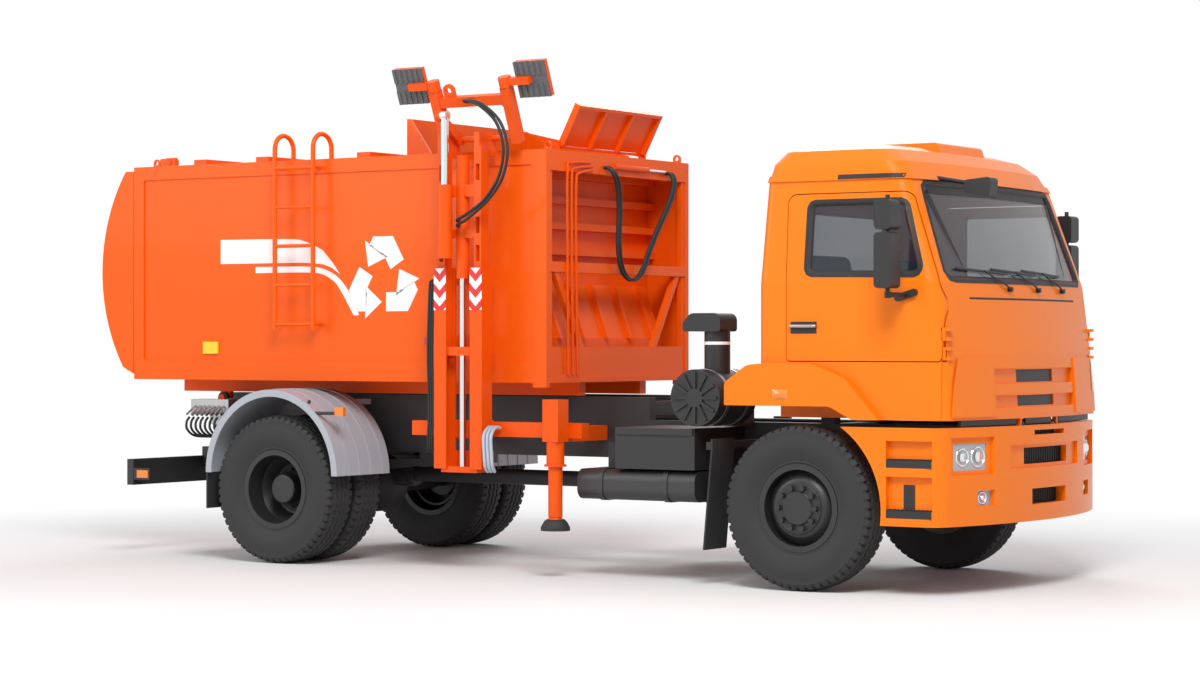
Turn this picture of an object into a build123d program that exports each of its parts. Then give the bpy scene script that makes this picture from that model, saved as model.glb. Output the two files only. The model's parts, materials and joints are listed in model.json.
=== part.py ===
from build123d import *
import math
import os
from collections import namedtuple

# Side-loading garbage truck on a two-axle cab-over chassis, in millimetres.
# X points forward, Y to the truck's left, Z up. The origin lies on the ground under the middle of the box.

# Overall layout: the parts between the axles keep their share of the wheelbase
OVERALL_LENGTH = 7320.0
FRONT_OVERHANG = 1220.0
REAR_OVERHANG = 1900.0
USUAL_WHEELBASE = 4200.0
WHEELBASE = OVERALL_LENGTH - FRONT_OVERHANG - REAR_OVERHANG
STRETCH = WHEELBASE / USUAL_WHEELBASE
NOSE_X = OVERALL_LENGTH / 2
TAIL_X = -OVERALL_LENGTH / 2
FRONT_AXLE_X = NOSE_X - FRONT_OVERHANG
REAR_AXLE_X = FRONT_AXLE_X - WHEELBASE
SEAT_GAP = 0.3
RUNNING_GAP = 0.5
PANEL_GAP = 6.0
FAR = 5000.0

# Wheels, tyres and axles
TYRE_DIAMETER = 1050.0
TYRE_WIDTH = 280.0
RIM_RADIUS = 257.0
RIM_WIDTH = 220.0
RIM_WALL = 14.0
KINGPIN_SPAN = 1720.0
KINGPIN_OFFSET = 160.0
FRONT_TRACK = KINGPIN_SPAN + 2 * KINGPIN_OFFSET
REAR_TRACK = 1850.0
DUAL_SPACING = 320.0
SPINDLE_RADIUS = 40.0
AXLE_TUBE_RADIUS = 72.0
AXLE_Z = TYRE_DIAMETER / 2

# Chassis frame and subframe
FRAME_WIDTH = 870.0
RAIL_HEIGHT = 260.0
RAIL_FLANGE = 80.0
RAIL_WALL = 9.0
RAIL_TOP_Z = 1040.0
FRAME_FRONT_X = FRONT_AXLE_X + 950.0
SUBFRAME_HEIGHT = 155.0
SUBFRAME_FRONT_X = FRONT_AXLE_X - 1535.0 * STRETCH
SUBFRAME_TOP_Z = RAIL_TOP_Z + SUBFRAME_HEIGHT
RAIL_BOTTOM_Z = RAIL_TOP_Z - RAIL_HEIGHT
RAIL_OUTER_Y = FRAME_WIDTH / 2
RAIL_INNER_Y = RAIL_OUTER_Y - RAIL_FLANGE
RAIL_WEB_Y = RAIL_OUTER_Y - RAIL_WALL

# Refuse body
BODY_WIDTH = 1860.0
BODY_FRONT_X = FRONT_AXLE_X - 2050.0 * STRETCH
BODY_REAR_X = TAIL_X + 320.0
BODY_LENGTH = BODY_FRONT_X - BODY_REAR_X
BODY_WALL = 45.0
BODY_BOTTOM_Z = 1335.0
BODY_TOP_Z = 2880.0
BODY_SIDE_Y = BODY_WIDTH / 2
BODY_INNER_Y = BODY_SIDE_Y - BODY_WALL
PANEL_RECESS = 12.0
BOTTOM_RAIL = 105.0
TOP_RAIL = 100.0
FRONT_POST = 110.0
REAR_POST = 95.0
FRONT_POST_DROP = 72.0
FLOOR_THICKNESS = 40.0
FLOOR_UNDER_Z = BODY_BOTTOM_Z - FLOOR_THICKNESS
ROOF_THICKNESS = 40.0
ROOF_UNDER_Z = BODY_TOP_Z - ROOF_THICKNESS
TIP_AXIS_X = BODY_REAR_X + 440.0
TIP_AXIS_Z = SUBFRAME_TOP_Z - 45.0
TIP_PIN_RADIUS = 28.0
FRAME_REAR_X = TIP_AXIS_X - 80.0

# Roof hopper and its flap
HOPPER_REAR_X = BODY_FRONT_X - 1290.0
HOPPER_FRONT_X = BODY_FRONT_X - 400.0
HOPPER_HALF_WIDTH = 720.0
HOPPER_WALL = 25.0
HOPPER_HEIGHT = 270.0
FLAP_WIDTH = 1080.0
FLAP_LENGTH = 330.0
FLAP_OPEN = 62.0
FLAP_HINGE_X = BODY_FRONT_X - 170.0
FLAP_HINGE_Z = BODY_TOP_Z + 45.0

# Tailgate
TAIL_TOP_Z = BODY_TOP_Z - 30.0
TAIL_BULGE_Z = BODY_BOTTOM_Z + 785.0
TAIL_BOTTOM_Z = BODY_BOTTOM_Z + 50.0
TAIL_TOP_X = TAIL_X + 235.0
TAIL_BOTTOM_X = TAIL_X + 210.0
TAIL_WALL = 60.0

# Side loader
MAST_X = FRONT_AXLE_X - 2600.0 * STRETCH
MAST_Y = -BODY_SIDE_Y - 200.0
MAST_RAIL_SPAN = 300.0
MAST_RAIL_WIDTH = 100.0
MAST_RAIL_DEPTH = 120.0
MAST_RAIL_WALL = 12.0
MAST_BOTTOM_Z = 710.0
MAST_TOP_Z = BODY_TOP_Z - 800.0
CARRIAGE_BOTTOM_Z = MAST_TOP_Z - 600.0
CARRIAGE_TOP_Z = BODY_TOP_Z + 20.0
LIFT_ROD_RADIUS = 25.0
LIFT_BARREL_RADIUS = 45.0
TILT_BARREL_RADIUS = 52.0
TILT_ROD_RADIUS = 26.0
HEAD_AXIS_Y = MAST_Y + 120.0
HEAD_AXIS_Z = BODY_TOP_Z + 80.0
HEAD_LEAN = 22.0
OUTRIGGER_X = FRONT_AXLE_X - 1817.0 * STRETCH
OUTRIGGER_Y = MAST_Y - 35.0
OUTRIGGER_SIDE = 125.0
OUTRIGGER_TOP_Z = 1190.0
OUTRIGGER_SLEEVE_Z = 745.0
FOOT_BOTTOM_Z = 320.0

# Cab
CAB_HALF_WIDTH = 1150.0
CAB_BOTTOM_Z = 1090.0
CAB_WALL = 45.0
CAB_FLOOR = 110.0
CAB_CEILING = 20.0
CAB_REAR_X = FRONT_AXLE_X - 280.0
GUTTER_Z = 2585.0
CAB_PIVOT_X = FRONT_AXLE_X + 1130.0
CAB_PIVOT_Z = CAB_BOTTOM_Z - 40.0
WING_TOP_Z = 1440.0
WING_SIDE_Y = 1205.0
WING_GAP = 14.0
DOOR_REAR_X = FRONT_AXLE_X - 70.0
DOOR_FRONT_X = FRONT_AXLE_X + 1000.0
DOOR_BOTTOM_Z = WING_TOP_Z + WING_GAP
LINER_INNER_Y = FRONT_TRACK / 2 - TYRE_WIDTH / 2
BUMPER_TOP_Z = 1045.0
BUMPER_BOTTOM_Z = 440.0
BUMPER_HALF_WIDTH = 1200.0
BUMPER_WALL = 55.0
BUMPER_BOW = 215.0
ARCH_RADIUS = 620.0
GLASS_THICKNESS = 8.0

SIDES = (-1, 1)
Span = namedtuple("Span", "low high")
nodes = {}


def block(x, y, z):
    """Box between a low and a high limit on each axis."""
    size = [high - low for low, high in (x, y, z)]
    centre = [(high + low) / 2 for low, high in (x, y, z)]
    return Pos(*centre) * Box(*size)


def around(middle, half):
    """Limits at the same distance on both sides of a middle."""
    return Span(middle - half, middle + half)


def on_side(side, near, far):
    """Y limits given for the left, moved to the right if side is -1."""
    return Span(*sorted((side * near, side * far)))


def flat(corners):
    """Face in the XY plane from (u, v, corner radius) rows taken in order round the shape."""
    face = make_face(Polyline(*[(u, v) for u, v, _ in corners], close=True))
    for u, v, radius in corners:
        if radius:
            face = fillet(face.vertices().sort_by_distance((u, v))[0], radius)
    return face


def side_prism(corners, y):
    """Outline in X and Z, carried across between two Y limits."""
    plane = Plane((0, y[1], 0), x_dir=(1, 0, 0), z_dir=(0, -1, 0))
    return extrude(plane * flat(corners), y[1] - y[0], dir=(0, -1, 0))


def cross_prism(corners, x):
    """Outline in Y and Z, carried along between two X limits."""
    plane = Plane((x[0], 0, 0), x_dir=(0, 1, 0), z_dir=(1, 0, 0))
    return extrude(plane * flat(corners), x[1] - x[0], dir=(1, 0, 0))


def rod(start, end, radius):
    """Round bar between two points."""
    axis = Vector(*end) - Vector(*start)
    base = Plane(origin=start, z_dir=axis)
    return base * Cylinder(radius, axis.length, align=(Align.CENTER, Align.CENTER, Align.MIN))


def rod_x(x, y, z, radius):
    """Round bar along X between two limits."""
    return rod((x[0], y, z), (x[1], y, z), radius)


def rod_y(x, y, z, radius):
    """Round bar along Y between two limits."""
    return rod((x, y[0], z), (x, y[1], z), radius)


def rod_z(x, y, z, radius):
    """Upright round bar between two limits."""
    return rod((x, y, z[0]), (x, y, z[1]), radius)


def turned(corners):
    """Ring turned about the Y axis from (radius, y, corner radius) rows."""
    return revolve(flat(corners), Axis.Y, 360)


def left_of(shape):
    """The same piece on the other side of the truck."""
    return mirror(shape, about=Plane.XZ)


def pair(shape):
    """A piece and its mirror image, as one node of two solids."""
    return Compound([shape, left_of(shape)])


# Chassis frame: two channel rails, cross members, the cab's pivot ears and rests, and a tow lug
CROSS_MEMBERS_X = (FRAME_FRONT_X - 60.0, FRONT_AXLE_X - 1500.0, REAR_AXLE_X + 1400.0,
                   REAR_AXLE_X + 500.0, REAR_AXLE_X - 600.0, TIP_AXIS_X + 120.0)
CROSS_MEMBER_WIDTH = 90.0
CROSS_MEMBER_Z = Span(RAIL_BOTTOM_Z + 70.0, RAIL_BOTTOM_Z + 190.0)
CAB_EAR_Y = Span(240.0, 262.0)
CAB_EAR_ROOT_X = FRAME_FRONT_X - 90.0
CAB_EAR_ROOT_Z = Span(RAIL_BOTTOM_Z + 80.0, RAIL_BOTTOM_Z + 185.0)
CAB_EAR_NECK = 30.0
CAB_PIVOT_RADIUS = 18.0
CAB_PIN_RADIUS = 10.0
CAB_REST_X = Span(CAB_REAR_X + 70.0, CAB_REAR_X + 170.0)
TOW_REACH = 110.0
TOW_RADIUS = 50.0
TOW_THICKNESS = 40.0
TOW_EYE_RADIUS = 26.0
TOW_Z = RAIL_BOTTOM_Z + 130.0


def rail():
    """Channel rail of the left side, its open side facing inwards."""
    low, high = RAIL_BOTTOM_Z, RAIL_TOP_Z
    channel = [(RAIL_OUTER_Y, low, 0), (RAIL_OUTER_Y, high, 0), (RAIL_INNER_Y, high, 0),
               (RAIL_INNER_Y, high - RAIL_WALL, 0), (RAIL_WEB_Y, high - RAIL_WALL, 0),
               (RAIL_WEB_Y, low + RAIL_WALL, 0), (RAIL_INNER_Y, low + RAIL_WALL, 0), (RAIL_INNER_Y, low, 0)]
    return cross_prism(channel, (FRAME_REAR_X, FRAME_FRONT_X))


def cab_ear(side):
    """Ear on the first cross member, with the bore for the cab's pivot pin."""
    tip = CAB_PIVOT_RADIUS
    outline = [(CAB_EAR_ROOT_X, CAB_EAR_ROOT_Z.low, 0), (CAB_EAR_ROOT_X, CAB_EAR_ROOT_Z.high, 0),
               (CAB_PIVOT_X - CAB_EAR_NECK, CAB_PIVOT_Z + tip, tip),
               (CAB_PIVOT_X + tip, CAB_PIVOT_Z + tip, tip - 1), (CAB_PIVOT_X + tip, CAB_PIVOT_Z - tip, tip - 1)]
    bore = rod_y(CAB_PIVOT_X, (-FRAME_WIDTH, FRAME_WIDTH), CAB_PIVOT_Z, CAB_PIN_RADIUS + RUNNING_GAP)
    return side_prism(outline, on_side(side, *CAB_EAR_Y)) - bore


def tow_lug():
    """Plate with an eye behind the last cross member."""
    rear, front = FRAME_REAR_X - TOW_REACH, CROSS_MEMBERS_X[-1]
    low, high = TOW_Z - TOW_RADIUS, TOW_Z + TOW_RADIUS
    outline = [(rear, low, TOW_RADIUS - 1), (rear, high, TOW_RADIUS - 1), (front, high, 0), (front, low, 0)]
    eye = rod_y(rear + TOW_RADIUS, (-FRAME_WIDTH, FRAME_WIDTH), TOW_Z, TOW_EYE_RADIUS)
    return side_prism(outline, around(0, TOW_THICKNESS / 2)) - eye


def chassis_frame():
    pieces = [left_of(rail())]
    for x in CROSS_MEMBERS_X:
        pieces.append(block(around(x, CROSS_MEMBER_WIDTH / 2), (-RAIL_WEB_Y, RAIL_WEB_Y), CROSS_MEMBER_Z))
    for side in SIDES:
        rest_y = on_side(side, RAIL_INNER_Y, RAIL_OUTER_Y)
        pieces.append(cab_ear(side))
        pieces.append(block(CAB_REST_X, rest_y, (RAIL_TOP_Z, CAB_BOTTOM_Z - SEAT_GAP)))
    return rail().fuse(*pieces) + tow_lug()


nodes["chassis_frame"] = chassis_frame()

# Subframe: two box beams on the rails, with the ears that carry the body's tipping pin
TIP_EAR_WIDTH = 30.0
TIP_EAR_RADIUS = 45.0
SUBFRAME_REAR_X = TIP_AXIS_X + 110.0
SUBFRAME_CROSS_X = (SUBFRAME_FRONT_X - 60.0, REAR_AXLE_X + 700.0, REAR_AXLE_X - 700.0)
SUBFRAME_CROSS_HALF = 40.0
SUBFRAME_CROSS_INSET = 30.0


def subframe():
    z = Span(RAIL_TOP_Z, SUBFRAME_TOP_Z)
    ear_y = Span(RAIL_OUTER_Y - TIP_EAR_WIDTH, RAIL_OUTER_Y)
    side = block((SUBFRAME_REAR_X, SUBFRAME_FRONT_X), (RAIL_INNER_Y, RAIL_OUTER_Y), z)
    side += block((TIP_AXIS_X - TIP_EAR_RADIUS, SUBFRAME_REAR_X), ear_y, (z.low, TIP_AXIS_Z))
    side += rod_y(TIP_AXIS_X, ear_y, TIP_AXIS_Z, TIP_EAR_RADIUS)
    cross_z = (z.low + SUBFRAME_CROSS_INSET, z.high - SUBFRAME_CROSS_INSET)
    cross = [block(around(x, SUBFRAME_CROSS_HALF), (-RAIL_INNER_Y, RAIL_INNER_Y), cross_z)
             for x in SUBFRAME_CROSS_X]
    bore = rod_y(TIP_AXIS_X, (-BODY_SIDE_Y, BODY_SIDE_Y), TIP_AXIS_Z, TIP_PIN_RADIUS + RUNNING_GAP)
    return (side + left_of(side) + cross) - bore


nodes["subframe"] = subframe()

# Axles: a dropped front beam with round kingpin eyes, and a rear housing with its tubes
KINGPIN_Y = KINGPIN_SPAN / 2
KINGPIN_RADIUS = 24.0
EYE_HALF_HEIGHT = 90.0
EYE_RADIUS = 55.0
BEAM_RAMP = Span(KINGPIN_Y - 260.0, KINGPIN_Y - 60.0)
BEAM_UNDER_Y = KINGPIN_Y - 70.0
BEAM_Z = Span(AXLE_Z - 125.0, AXLE_Z - 20.0)
BEAM_BEND = 60.0
SPRING_Y = 395.0
SPRING_WIDTH = 90.0


def front_axle_beam():
    low, high = AXLE_Z - EYE_HALF_HEIGHT, AXLE_Z + EYE_HALF_HEIGHT
    eye = KINGPIN_Y + EYE_RADIUS
    top = [(eye, low, 0), (eye, high, 0), (BEAM_RAMP.high, high, BEAM_BEND / 2), (BEAM_RAMP.low, BEAM_Z.high, BEAM_BEND)]
    under = [(BEAM_RAMP.low, BEAM_Z.low, BEAM_BEND), (BEAM_UNDER_Y, low, 0)]
    other = [(-y, z, radius) for y, z, radius in reversed(under + top)]
    outline = under + top + other
    x = around(FRONT_AXLE_X, EYE_RADIUS)
    height = (0, 2 * AXLE_Z)
    ends = (-KINGPIN_Y, KINGPIN_Y)
    eyes = [rod_z(FRONT_AXLE_X, y, height, EYE_RADIUS) for y in ends]
    bores = [rod_z(FRONT_AXLE_X, y, height, KINGPIN_RADIUS + RUNNING_GAP) for y in ends]
    plan = block(x, ends, height).fuse(*eyes)
    return (cross_prism(outline, x) & plan) - bores


BANJO_RADIUS = 215.0
BANJO_HALF = 90.0
BANJO_END = 260.0
REAR_SPINDLE_RADIUS = 60.0
REAR_TUBE_END_Y = REAR_TRACK / 2 - DUAL_SPACING / 2 - TYRE_WIDTH / 2 + 60.0
REAR_SPINDLE_END_Y = REAR_TRACK / 2 + 130.0
SHAFT_Z = AXLE_Z + 75.0
SHAFT_RADIUS = 55.0
PINION_NOSE = 330.0
PINION_RADIUS = 95.0
REAR_SPRING_Z = AXLE_Z + AXLE_TUBE_RADIUS + 35.0
SPRING_SEAT_HALF = 70.0


def rear_axle():
    tube, neck = AXLE_TUBE_RADIUS, AXLE_TUBE_RADIUS + 10
    half = [(BANJO_RADIUS, BANJO_HALF, 60), (neck, BANJO_END, 40), (tube, REAR_TUBE_END_Y, 0),
            (REAR_SPINDLE_RADIUS, REAR_TUBE_END_Y, 0), (REAR_SPINDLE_RADIUS, REAR_SPINDLE_END_Y, 0),
            (0, REAR_SPINDLE_END_Y, 0)]
    other = [(radius, -y, bend) for radius, y, bend in reversed(half)]
    housing = Pos(REAR_AXLE_X, 0, AXLE_Z) * turned(other + half)
    nose = rod_x((REAR_AXLE_X, REAR_AXLE_X + PINION_NOSE), 0, SHAFT_Z, PINION_RADIUS)
    seats = [block(around(REAR_AXLE_X, SPRING_SEAT_HALF), around(y, SPRING_WIDTH / 2 + 5), (AXLE_Z, REAR_SPRING_Z))
             for y in (-SPRING_Y, SPRING_Y)]
    return housing + nose + seats


nodes["front_axle_beam"] = front_axle_beam()
nodes["rear_axle"] = rear_axle()

# Leaf springs with their hangers under the rails
Spring = namedtuple("Spring", "axle_x seat_z length thickness")
SPRINGS = (Spring(FRONT_AXLE_X, BEAM_Z.high, 1450.0, 95.0), Spring(REAR_AXLE_X, REAR_SPRING_Z, 1500.0, 85.0))
SPRING_TIP = 45.0
HANGER_HALF_X = 35.0
HANGER_HALF_Y = 40.0
HANGER_LAP = 60.0


def leaf_spring(spring, y):
    """Bow of leaves, thick at its seat and thin at its ends, with a hanger at each end."""
    x, half = spring.axle_x, spring.length / 2
    low_mid, high_mid = spring.seat_z, spring.seat_z + spring.thickness
    high_end = RAIL_BOTTOM_Z - SPRING_TIP
    low_end = high_end - spring.thickness + SPRING_TIP
    lower = ThreePointArc((x - half, low_end), (x, low_mid), (x + half, low_end))
    upper = ThreePointArc((x - half, high_end), (x, high_mid), (x + half, high_end))
    ends = [Line(lower @ 0, upper @ 0), Line(lower @ 1, upper @ 1)]
    plane = Plane((0, y + SPRING_WIDTH / 2, 0), x_dir=(1, 0, 0), z_dir=(0, -1, 0))
    leaves = extrude(plane * make_face(lower + upper + ends), SPRING_WIDTH, dir=(0, -1, 0))
    hangers = [block(around(end, HANGER_HALF_X), around(y, HANGER_HALF_Y), (high_end - HANGER_LAP, RAIL_BOTTOM_Z))
               for end in (x - half, x + half)]
    return leaves + hangers


nodes["leaf_springs"] = Compound([leaf_spring(spring, y) for spring in SPRINGS for y in (-SPRING_Y, SPRING_Y)])

# Driveline: engine and gearbox as one plain block, and the propeller shaft behind it
ENGINE_X = Span(FRONT_AXLE_X - 350.0, FRONT_AXLE_X + 800.0)
ENGINE_Z = Span(RAIL_BOTTOM_Z - 140.0, CAB_BOTTOM_Z - 60.0)
ENGINE_HALF_WIDTH = 290.0
ENGINE_CORNER = 40.0
ENGINE_FEET_X = (ENGINE_X.low + 100.0, ENGINE_X.high - 150.0)
ENGINE_FOOT_Z = Span(RAIL_BOTTOM_Z + 60.0, RAIL_BOTTOM_Z + 130.0)
ENGINE_FOOT_HALF = 60.0
GEARBOX_REAR_X = ENGINE_X.low - 900.0
GEARBOX_HALF_WIDTH = 200.0
GEARBOX_Z = Span(SHAFT_Z - 130.0, SHAFT_Z + 260.0)
GEARBOX_CORNER = 60.0
FLANGE_RADIUS = SHAFT_RADIUS + 30.0
FLANGE_LENGTH = 40.0


def engine_gearbox():
    engine = side_prism([(x, z, ENGINE_CORNER) for x, z in (
        (ENGINE_X.low, ENGINE_Z.low), (ENGINE_X.low, ENGINE_Z.high),
        (ENGINE_X.high, ENGINE_Z.high), (ENGINE_X.high, ENGINE_Z.low))], around(0, ENGINE_HALF_WIDTH))
    half = GEARBOX_HALF_WIDTH
    gearbox = cross_prism([(y, z, GEARBOX_CORNER) for y, z in (
        (-half, GEARBOX_Z.low), (half, GEARBOX_Z.low), (half, GEARBOX_Z.high), (-half, GEARBOX_Z.high))],
        (GEARBOX_REAR_X, ENGINE_X.low + ENGINE_CORNER))
    feet = [block(around(x, ENGINE_FOOT_HALF), (-RAIL_WEB_Y, RAIL_WEB_Y), ENGINE_FOOT_Z) for x in ENGINE_FEET_X]
    return engine + gearbox + feet


def propeller_shaft():
    x = Span(REAR_AXLE_X + PINION_NOSE + SEAT_GAP, GEARBOX_REAR_X - SEAT_GAP)
    flanges = [rod_x(ends, 0, SHAFT_Z, FLANGE_RADIUS)
               for ends in ((x.low, x.low + FLANGE_LENGTH), (x.high - FLANGE_LENGTH, x.high))]
    return rod_x(x, 0, SHAFT_Z, SHAFT_RADIUS) + flanges


nodes["engine_gearbox"] = engine_gearbox()
nodes["propeller_shaft"] = propeller_shaft()

# Tyres and wheels, each turned about its own axis
TREAD_RADIUS = TYRE_DIAMETER / 2
HALF_TYRE = TYRE_WIDTH / 2
RIM_FLANGE = 24.0
RIM_LIP = 13.0
BEAD_Y = RIM_WIDTH / 2 - RIM_LIP - 1
RIM_INNER = RIM_RADIUS - RIM_WALL
DISC_RADIUS = RIM_INNER + 3.0


def tyre():
    half = [(RIM_RADIUS, BEAD_Y, 0), (RIM_RADIUS + RIM_FLANGE + 4, BEAD_Y, 0), (RIM_RADIUS + 130, HALF_TYRE, 60),
            (TREAD_RADIUS - 40, HALF_TYRE - 8, 25), (TREAD_RADIUS, HALF_TYRE - 34, 25)]
    other = [(radius, -y, bend) for radius, y, bend in reversed(half)]
    return turned(half + other)


def rim():
    """Rim barrel with a flange at each edge."""
    edge, flange = RIM_WIDTH / 2, RIM_RADIUS + RIM_FLANGE
    half = [(RIM_RADIUS, edge - RIM_LIP, 0), (flange, edge - RIM_LIP, 0), (flange, edge, 0), (RIM_INNER, edge, 0)]
    other = [(radius, -y, 0) for radius, y, _ in reversed(half)]
    return turned(half + other)


def front_wheel():
    """Wheel for the left side: its dished disc and flat hub face outwards, along +Y."""
    bore = SPINDLE_RADIUS + RUNNING_GAP
    disc = turned([(DISC_RADIUS, 20, 0), (DISC_RADIUS, 36, 0), (185, 92, 15), (165, 100, 0), (165, 112, 6),
                   (112, 112, 0), (105, 124, 8), (0, 124, 0), (0, 70, 0), (bore, 70, 0),
                   (bore, -20, 0), (85, -20, 0), (85, 84, 0), (178, 76, 15)])
    drum = turned([(80, 16, 0), (80, 30, 0), (205, 30, 0), (205, -62, 0), (190, -62, 0), (190, 16, 0)])
    return rim() + disc + drum


def rear_wheels():
    """Twin wheels for the left side, centred between the two tyres, with their hub."""
    spread = DUAL_SPACING / 2
    bore = REAR_SPINDLE_RADIUS + RUNNING_GAP
    disc = [(DISC_RADIUS, spread - 40, 0), (DISC_RADIUS, spread - 56, 0), (190, 8, 20), (100, 8, 0), (100, 22, 0),
            (182, 22, 20)]
    inward = turned([(radius, -y, bend) for radius, y, bend in disc])
    hub = turned([(bore, -120, 0), (130, -120, 0), (130, 60, 0), (105, 80, 0), (105, 185, 15),
                  (0, 185, 0), (0, 140, 0), (bore, 140, 0)])
    drum = turned([(128, -20, 0), (128, -35, 0), (190, -35, 0), (190, -200, 0), (205, -200, 0), (205, -20, 0)])
    return turned(disc) + inward + hub + drum + Pos(0, spread, 0) * rim() + Pos(0, -spread, 0) * rim()


front_place = Pos(FRONT_AXLE_X, FRONT_TRACK / 2, AXLE_Z)
rear_place = Pos(REAR_AXLE_X, REAR_TRACK / 2, AXLE_Z)
wheel_pieces = {
    "front_tyre": front_place * tyre(),
    "front_wheel": front_place * front_wheel(),
    "rear_tyres": Compound([rear_place * Pos(0, side * DUAL_SPACING / 2, 0) * tyre() for side in SIDES]),
    "rear_wheels": rear_place * rear_wheels(),
}
for name, piece in wheel_pieces.items():
    nodes[name + "_left"] = piece
    nodes[name + "_right"] = left_of(piece)

# Steering knuckles: fork, kingpin and spindle
FORK_GAP = 5.0
FORK_HEIGHT = 40.0
FORK_HALF = 45.0
FORK_INNER = 50.0
KNUCKLE_WEB_Y = Span(KINGPIN_Y + EYE_RADIUS + 7.0, KINGPIN_Y + EYE_RADIUS + 37.0)
SPINDLE_REACH = 60.0


def knuckle():
    eye = Span(AXLE_Z - EYE_HALF_HEIGHT - FORK_GAP, AXLE_Z + EYE_HALF_HEIGHT + FORK_GAP)
    x, arm_y = around(FRONT_AXLE_X, FORK_HALF), (KINGPIN_Y - FORK_INNER, KNUCKLE_WEB_Y.high)
    upper = block(x, arm_y, (eye.high, eye.high + FORK_HEIGHT))
    lower = block(x, arm_y, (eye.low - FORK_HEIGHT, eye.low))
    web = block(x, KNUCKLE_WEB_Y, eye)
    pin = rod_z(FRONT_AXLE_X, KINGPIN_Y, eye, KINGPIN_RADIUS)
    spindle = rod_y(FRONT_AXLE_X, (KNUCKLE_WEB_Y.low, FRONT_TRACK / 2 + SPINDLE_REACH), AXLE_Z, SPINDLE_RADIUS)
    return upper + lower + web + pin + spindle


nodes["knuckle_left"] = knuckle()
nodes["knuckle_right"] = left_of(nodes["knuckle_left"])

# Front bumper, its lamps, and the step panels beside it
BUMPER_CORNER = 130.0
STEP_FRONT_X = DOOR_FRONT_X
Pocket = namedtuple("Pocket", "y z")
LAMP_RECESS = Pocket((690, 1085), (755, 985))
LAMP_POCKETS = (Pocket((740, 1040), (780, 945)), Pocket((690, 860), (560, 655)))
AIR_SLOTS = (Pocket((-330, 330), (800, 905)), Pocket((-260, 260), (545, 645)), Pocket((-230, 230), (985, 1015)))
SLOT_BROW = Pocket((-520, 520), (780, 925))
RECESS_DEPTH = 20.0
LENS_DEPTH = Span(RECESS_DEPTH + 6.0, BUMPER_WALL)
BUMPER_ARM_Z = Span(RAIL_BOTTOM_Z + 140.0, RAIL_BOTTOM_Z + 200.0)
BUMPER_ARM_HALF = 30.0
STEP_X = Span(FRONT_AXLE_X + 655.0, STEP_FRONT_X - 35.0)
STEP_POCKETS_Z = (Span(535.0, 745.0), Span(845.0, 965.0))
STEP_POCKET_DEPTH = 40.0
TREAD_HEIGHT = 45.0
STEP_ARM_X = Span(STEP_FRONT_X - 120.0, STEP_FRONT_X - 60.0)


def bumper_plan(inset):
    """Plan outline of the bumper and step panels, bowed across the front."""
    half, nose, rear = BUMPER_HALF_WIDTH - inset, NOSE_X - inset, FRONT_AXLE_X
    corner = nose - BUMPER_BOW
    sides = [Line((corner, -half), (rear, -half)), Line((rear, -half), (rear, half)), Line((rear, half), (corner, half))]
    bow = ThreePointArc((corner, half), (nose, 0), (corner, -half))
    face = make_face(sides + [bow])
    for y in (-half, half):
        face = fillet(face.vertices().sort_by_distance((corner, y))[0], BUMPER_CORNER - inset)
    return face


def bumper_form(inset):
    """Bumper outline carried up over its height."""
    height = BUMPER_TOP_Z - BUMPER_BOTTOM_Z
    return extrude(Pos(0, 0, BUMPER_BOTTOM_Z) * bumper_plan(inset), height, dir=(0, 0, 1))


def front_hole(pocket, side=1):
    """Block through the front over a pocket's limits."""
    return block((STEP_FRONT_X, NOSE_X), on_side(side, *pocket.y), pocket.z)


arch = rod_y(FRONT_AXLE_X, (-FAR, FAR), AXLE_Z, ARCH_RADIUS)
skirt = bumper_form(0) - bumper_form(BUMPER_WALL) - arch
recess_form = bumper_form(RECESS_DEPTH)
lens_form = bumper_form(LENS_DEPTH.low) - bumper_form(LENS_DEPTH.high)


def front_bumper():
    bumper = skirt & block((STEP_FRONT_X, NOSE_X), (-FAR, FAR), (0, FAR))
    bumper -= [front_hole(slot) for slot in AIR_SLOTS]
    bumper -= front_hole(SLOT_BROW) - recess_form
    for side in SIDES:
        bumper -= front_hole(LAMP_RECESS, side) - recess_form
        bumper -= [front_hole(pocket, side) for pocket in LAMP_POCKETS]
        arm_y = around(side * (RAIL_OUTER_Y - RAIL_FLANGE / 2), BUMPER_ARM_HALF)
        bumper += block((FRAME_FRONT_X, NOSE_X - BUMPER_WALL - RECESS_DEPTH), arm_y, BUMPER_ARM_Z)
    return bumper


def step_panel():
    panel = skirt & block((FRONT_AXLE_X, STEP_FRONT_X), (0, FAR), (0, FAR))
    depth_y = (BUMPER_HALF_WIDTH - STEP_POCKET_DEPTH, BUMPER_HALF_WIDTH)
    panel -= [block(STEP_X, depth_y, (z.low - TREAD_HEIGHT, z.high)) for z in STEP_POCKETS_Z]
    return panel + block(STEP_ARM_X, (RAIL_OUTER_Y, BUMPER_HALF_WIDTH - BUMPER_WALL), BUMPER_ARM_Z)


def step_treads():
    """Treads at the foot of each step pocket on the left."""
    depth_y = (BUMPER_HALF_WIDTH - STEP_POCKET_DEPTH - TREAD_HEIGHT / 2, BUMPER_HALF_WIDTH - PANEL_GAP / 2)
    return [block(STEP_X, depth_y, (z.low - TREAD_HEIGHT, z.low)) for z in STEP_POCKETS_Z]


nodes["front_bumper"] = front_bumper()
nodes["headlamps"] = Compound([lens_form & front_hole(pocket, side) for pocket in LAMP_POCKETS for side in SIDES])
nodes["step_panels"] = pair(step_panel() + step_treads())

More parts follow.
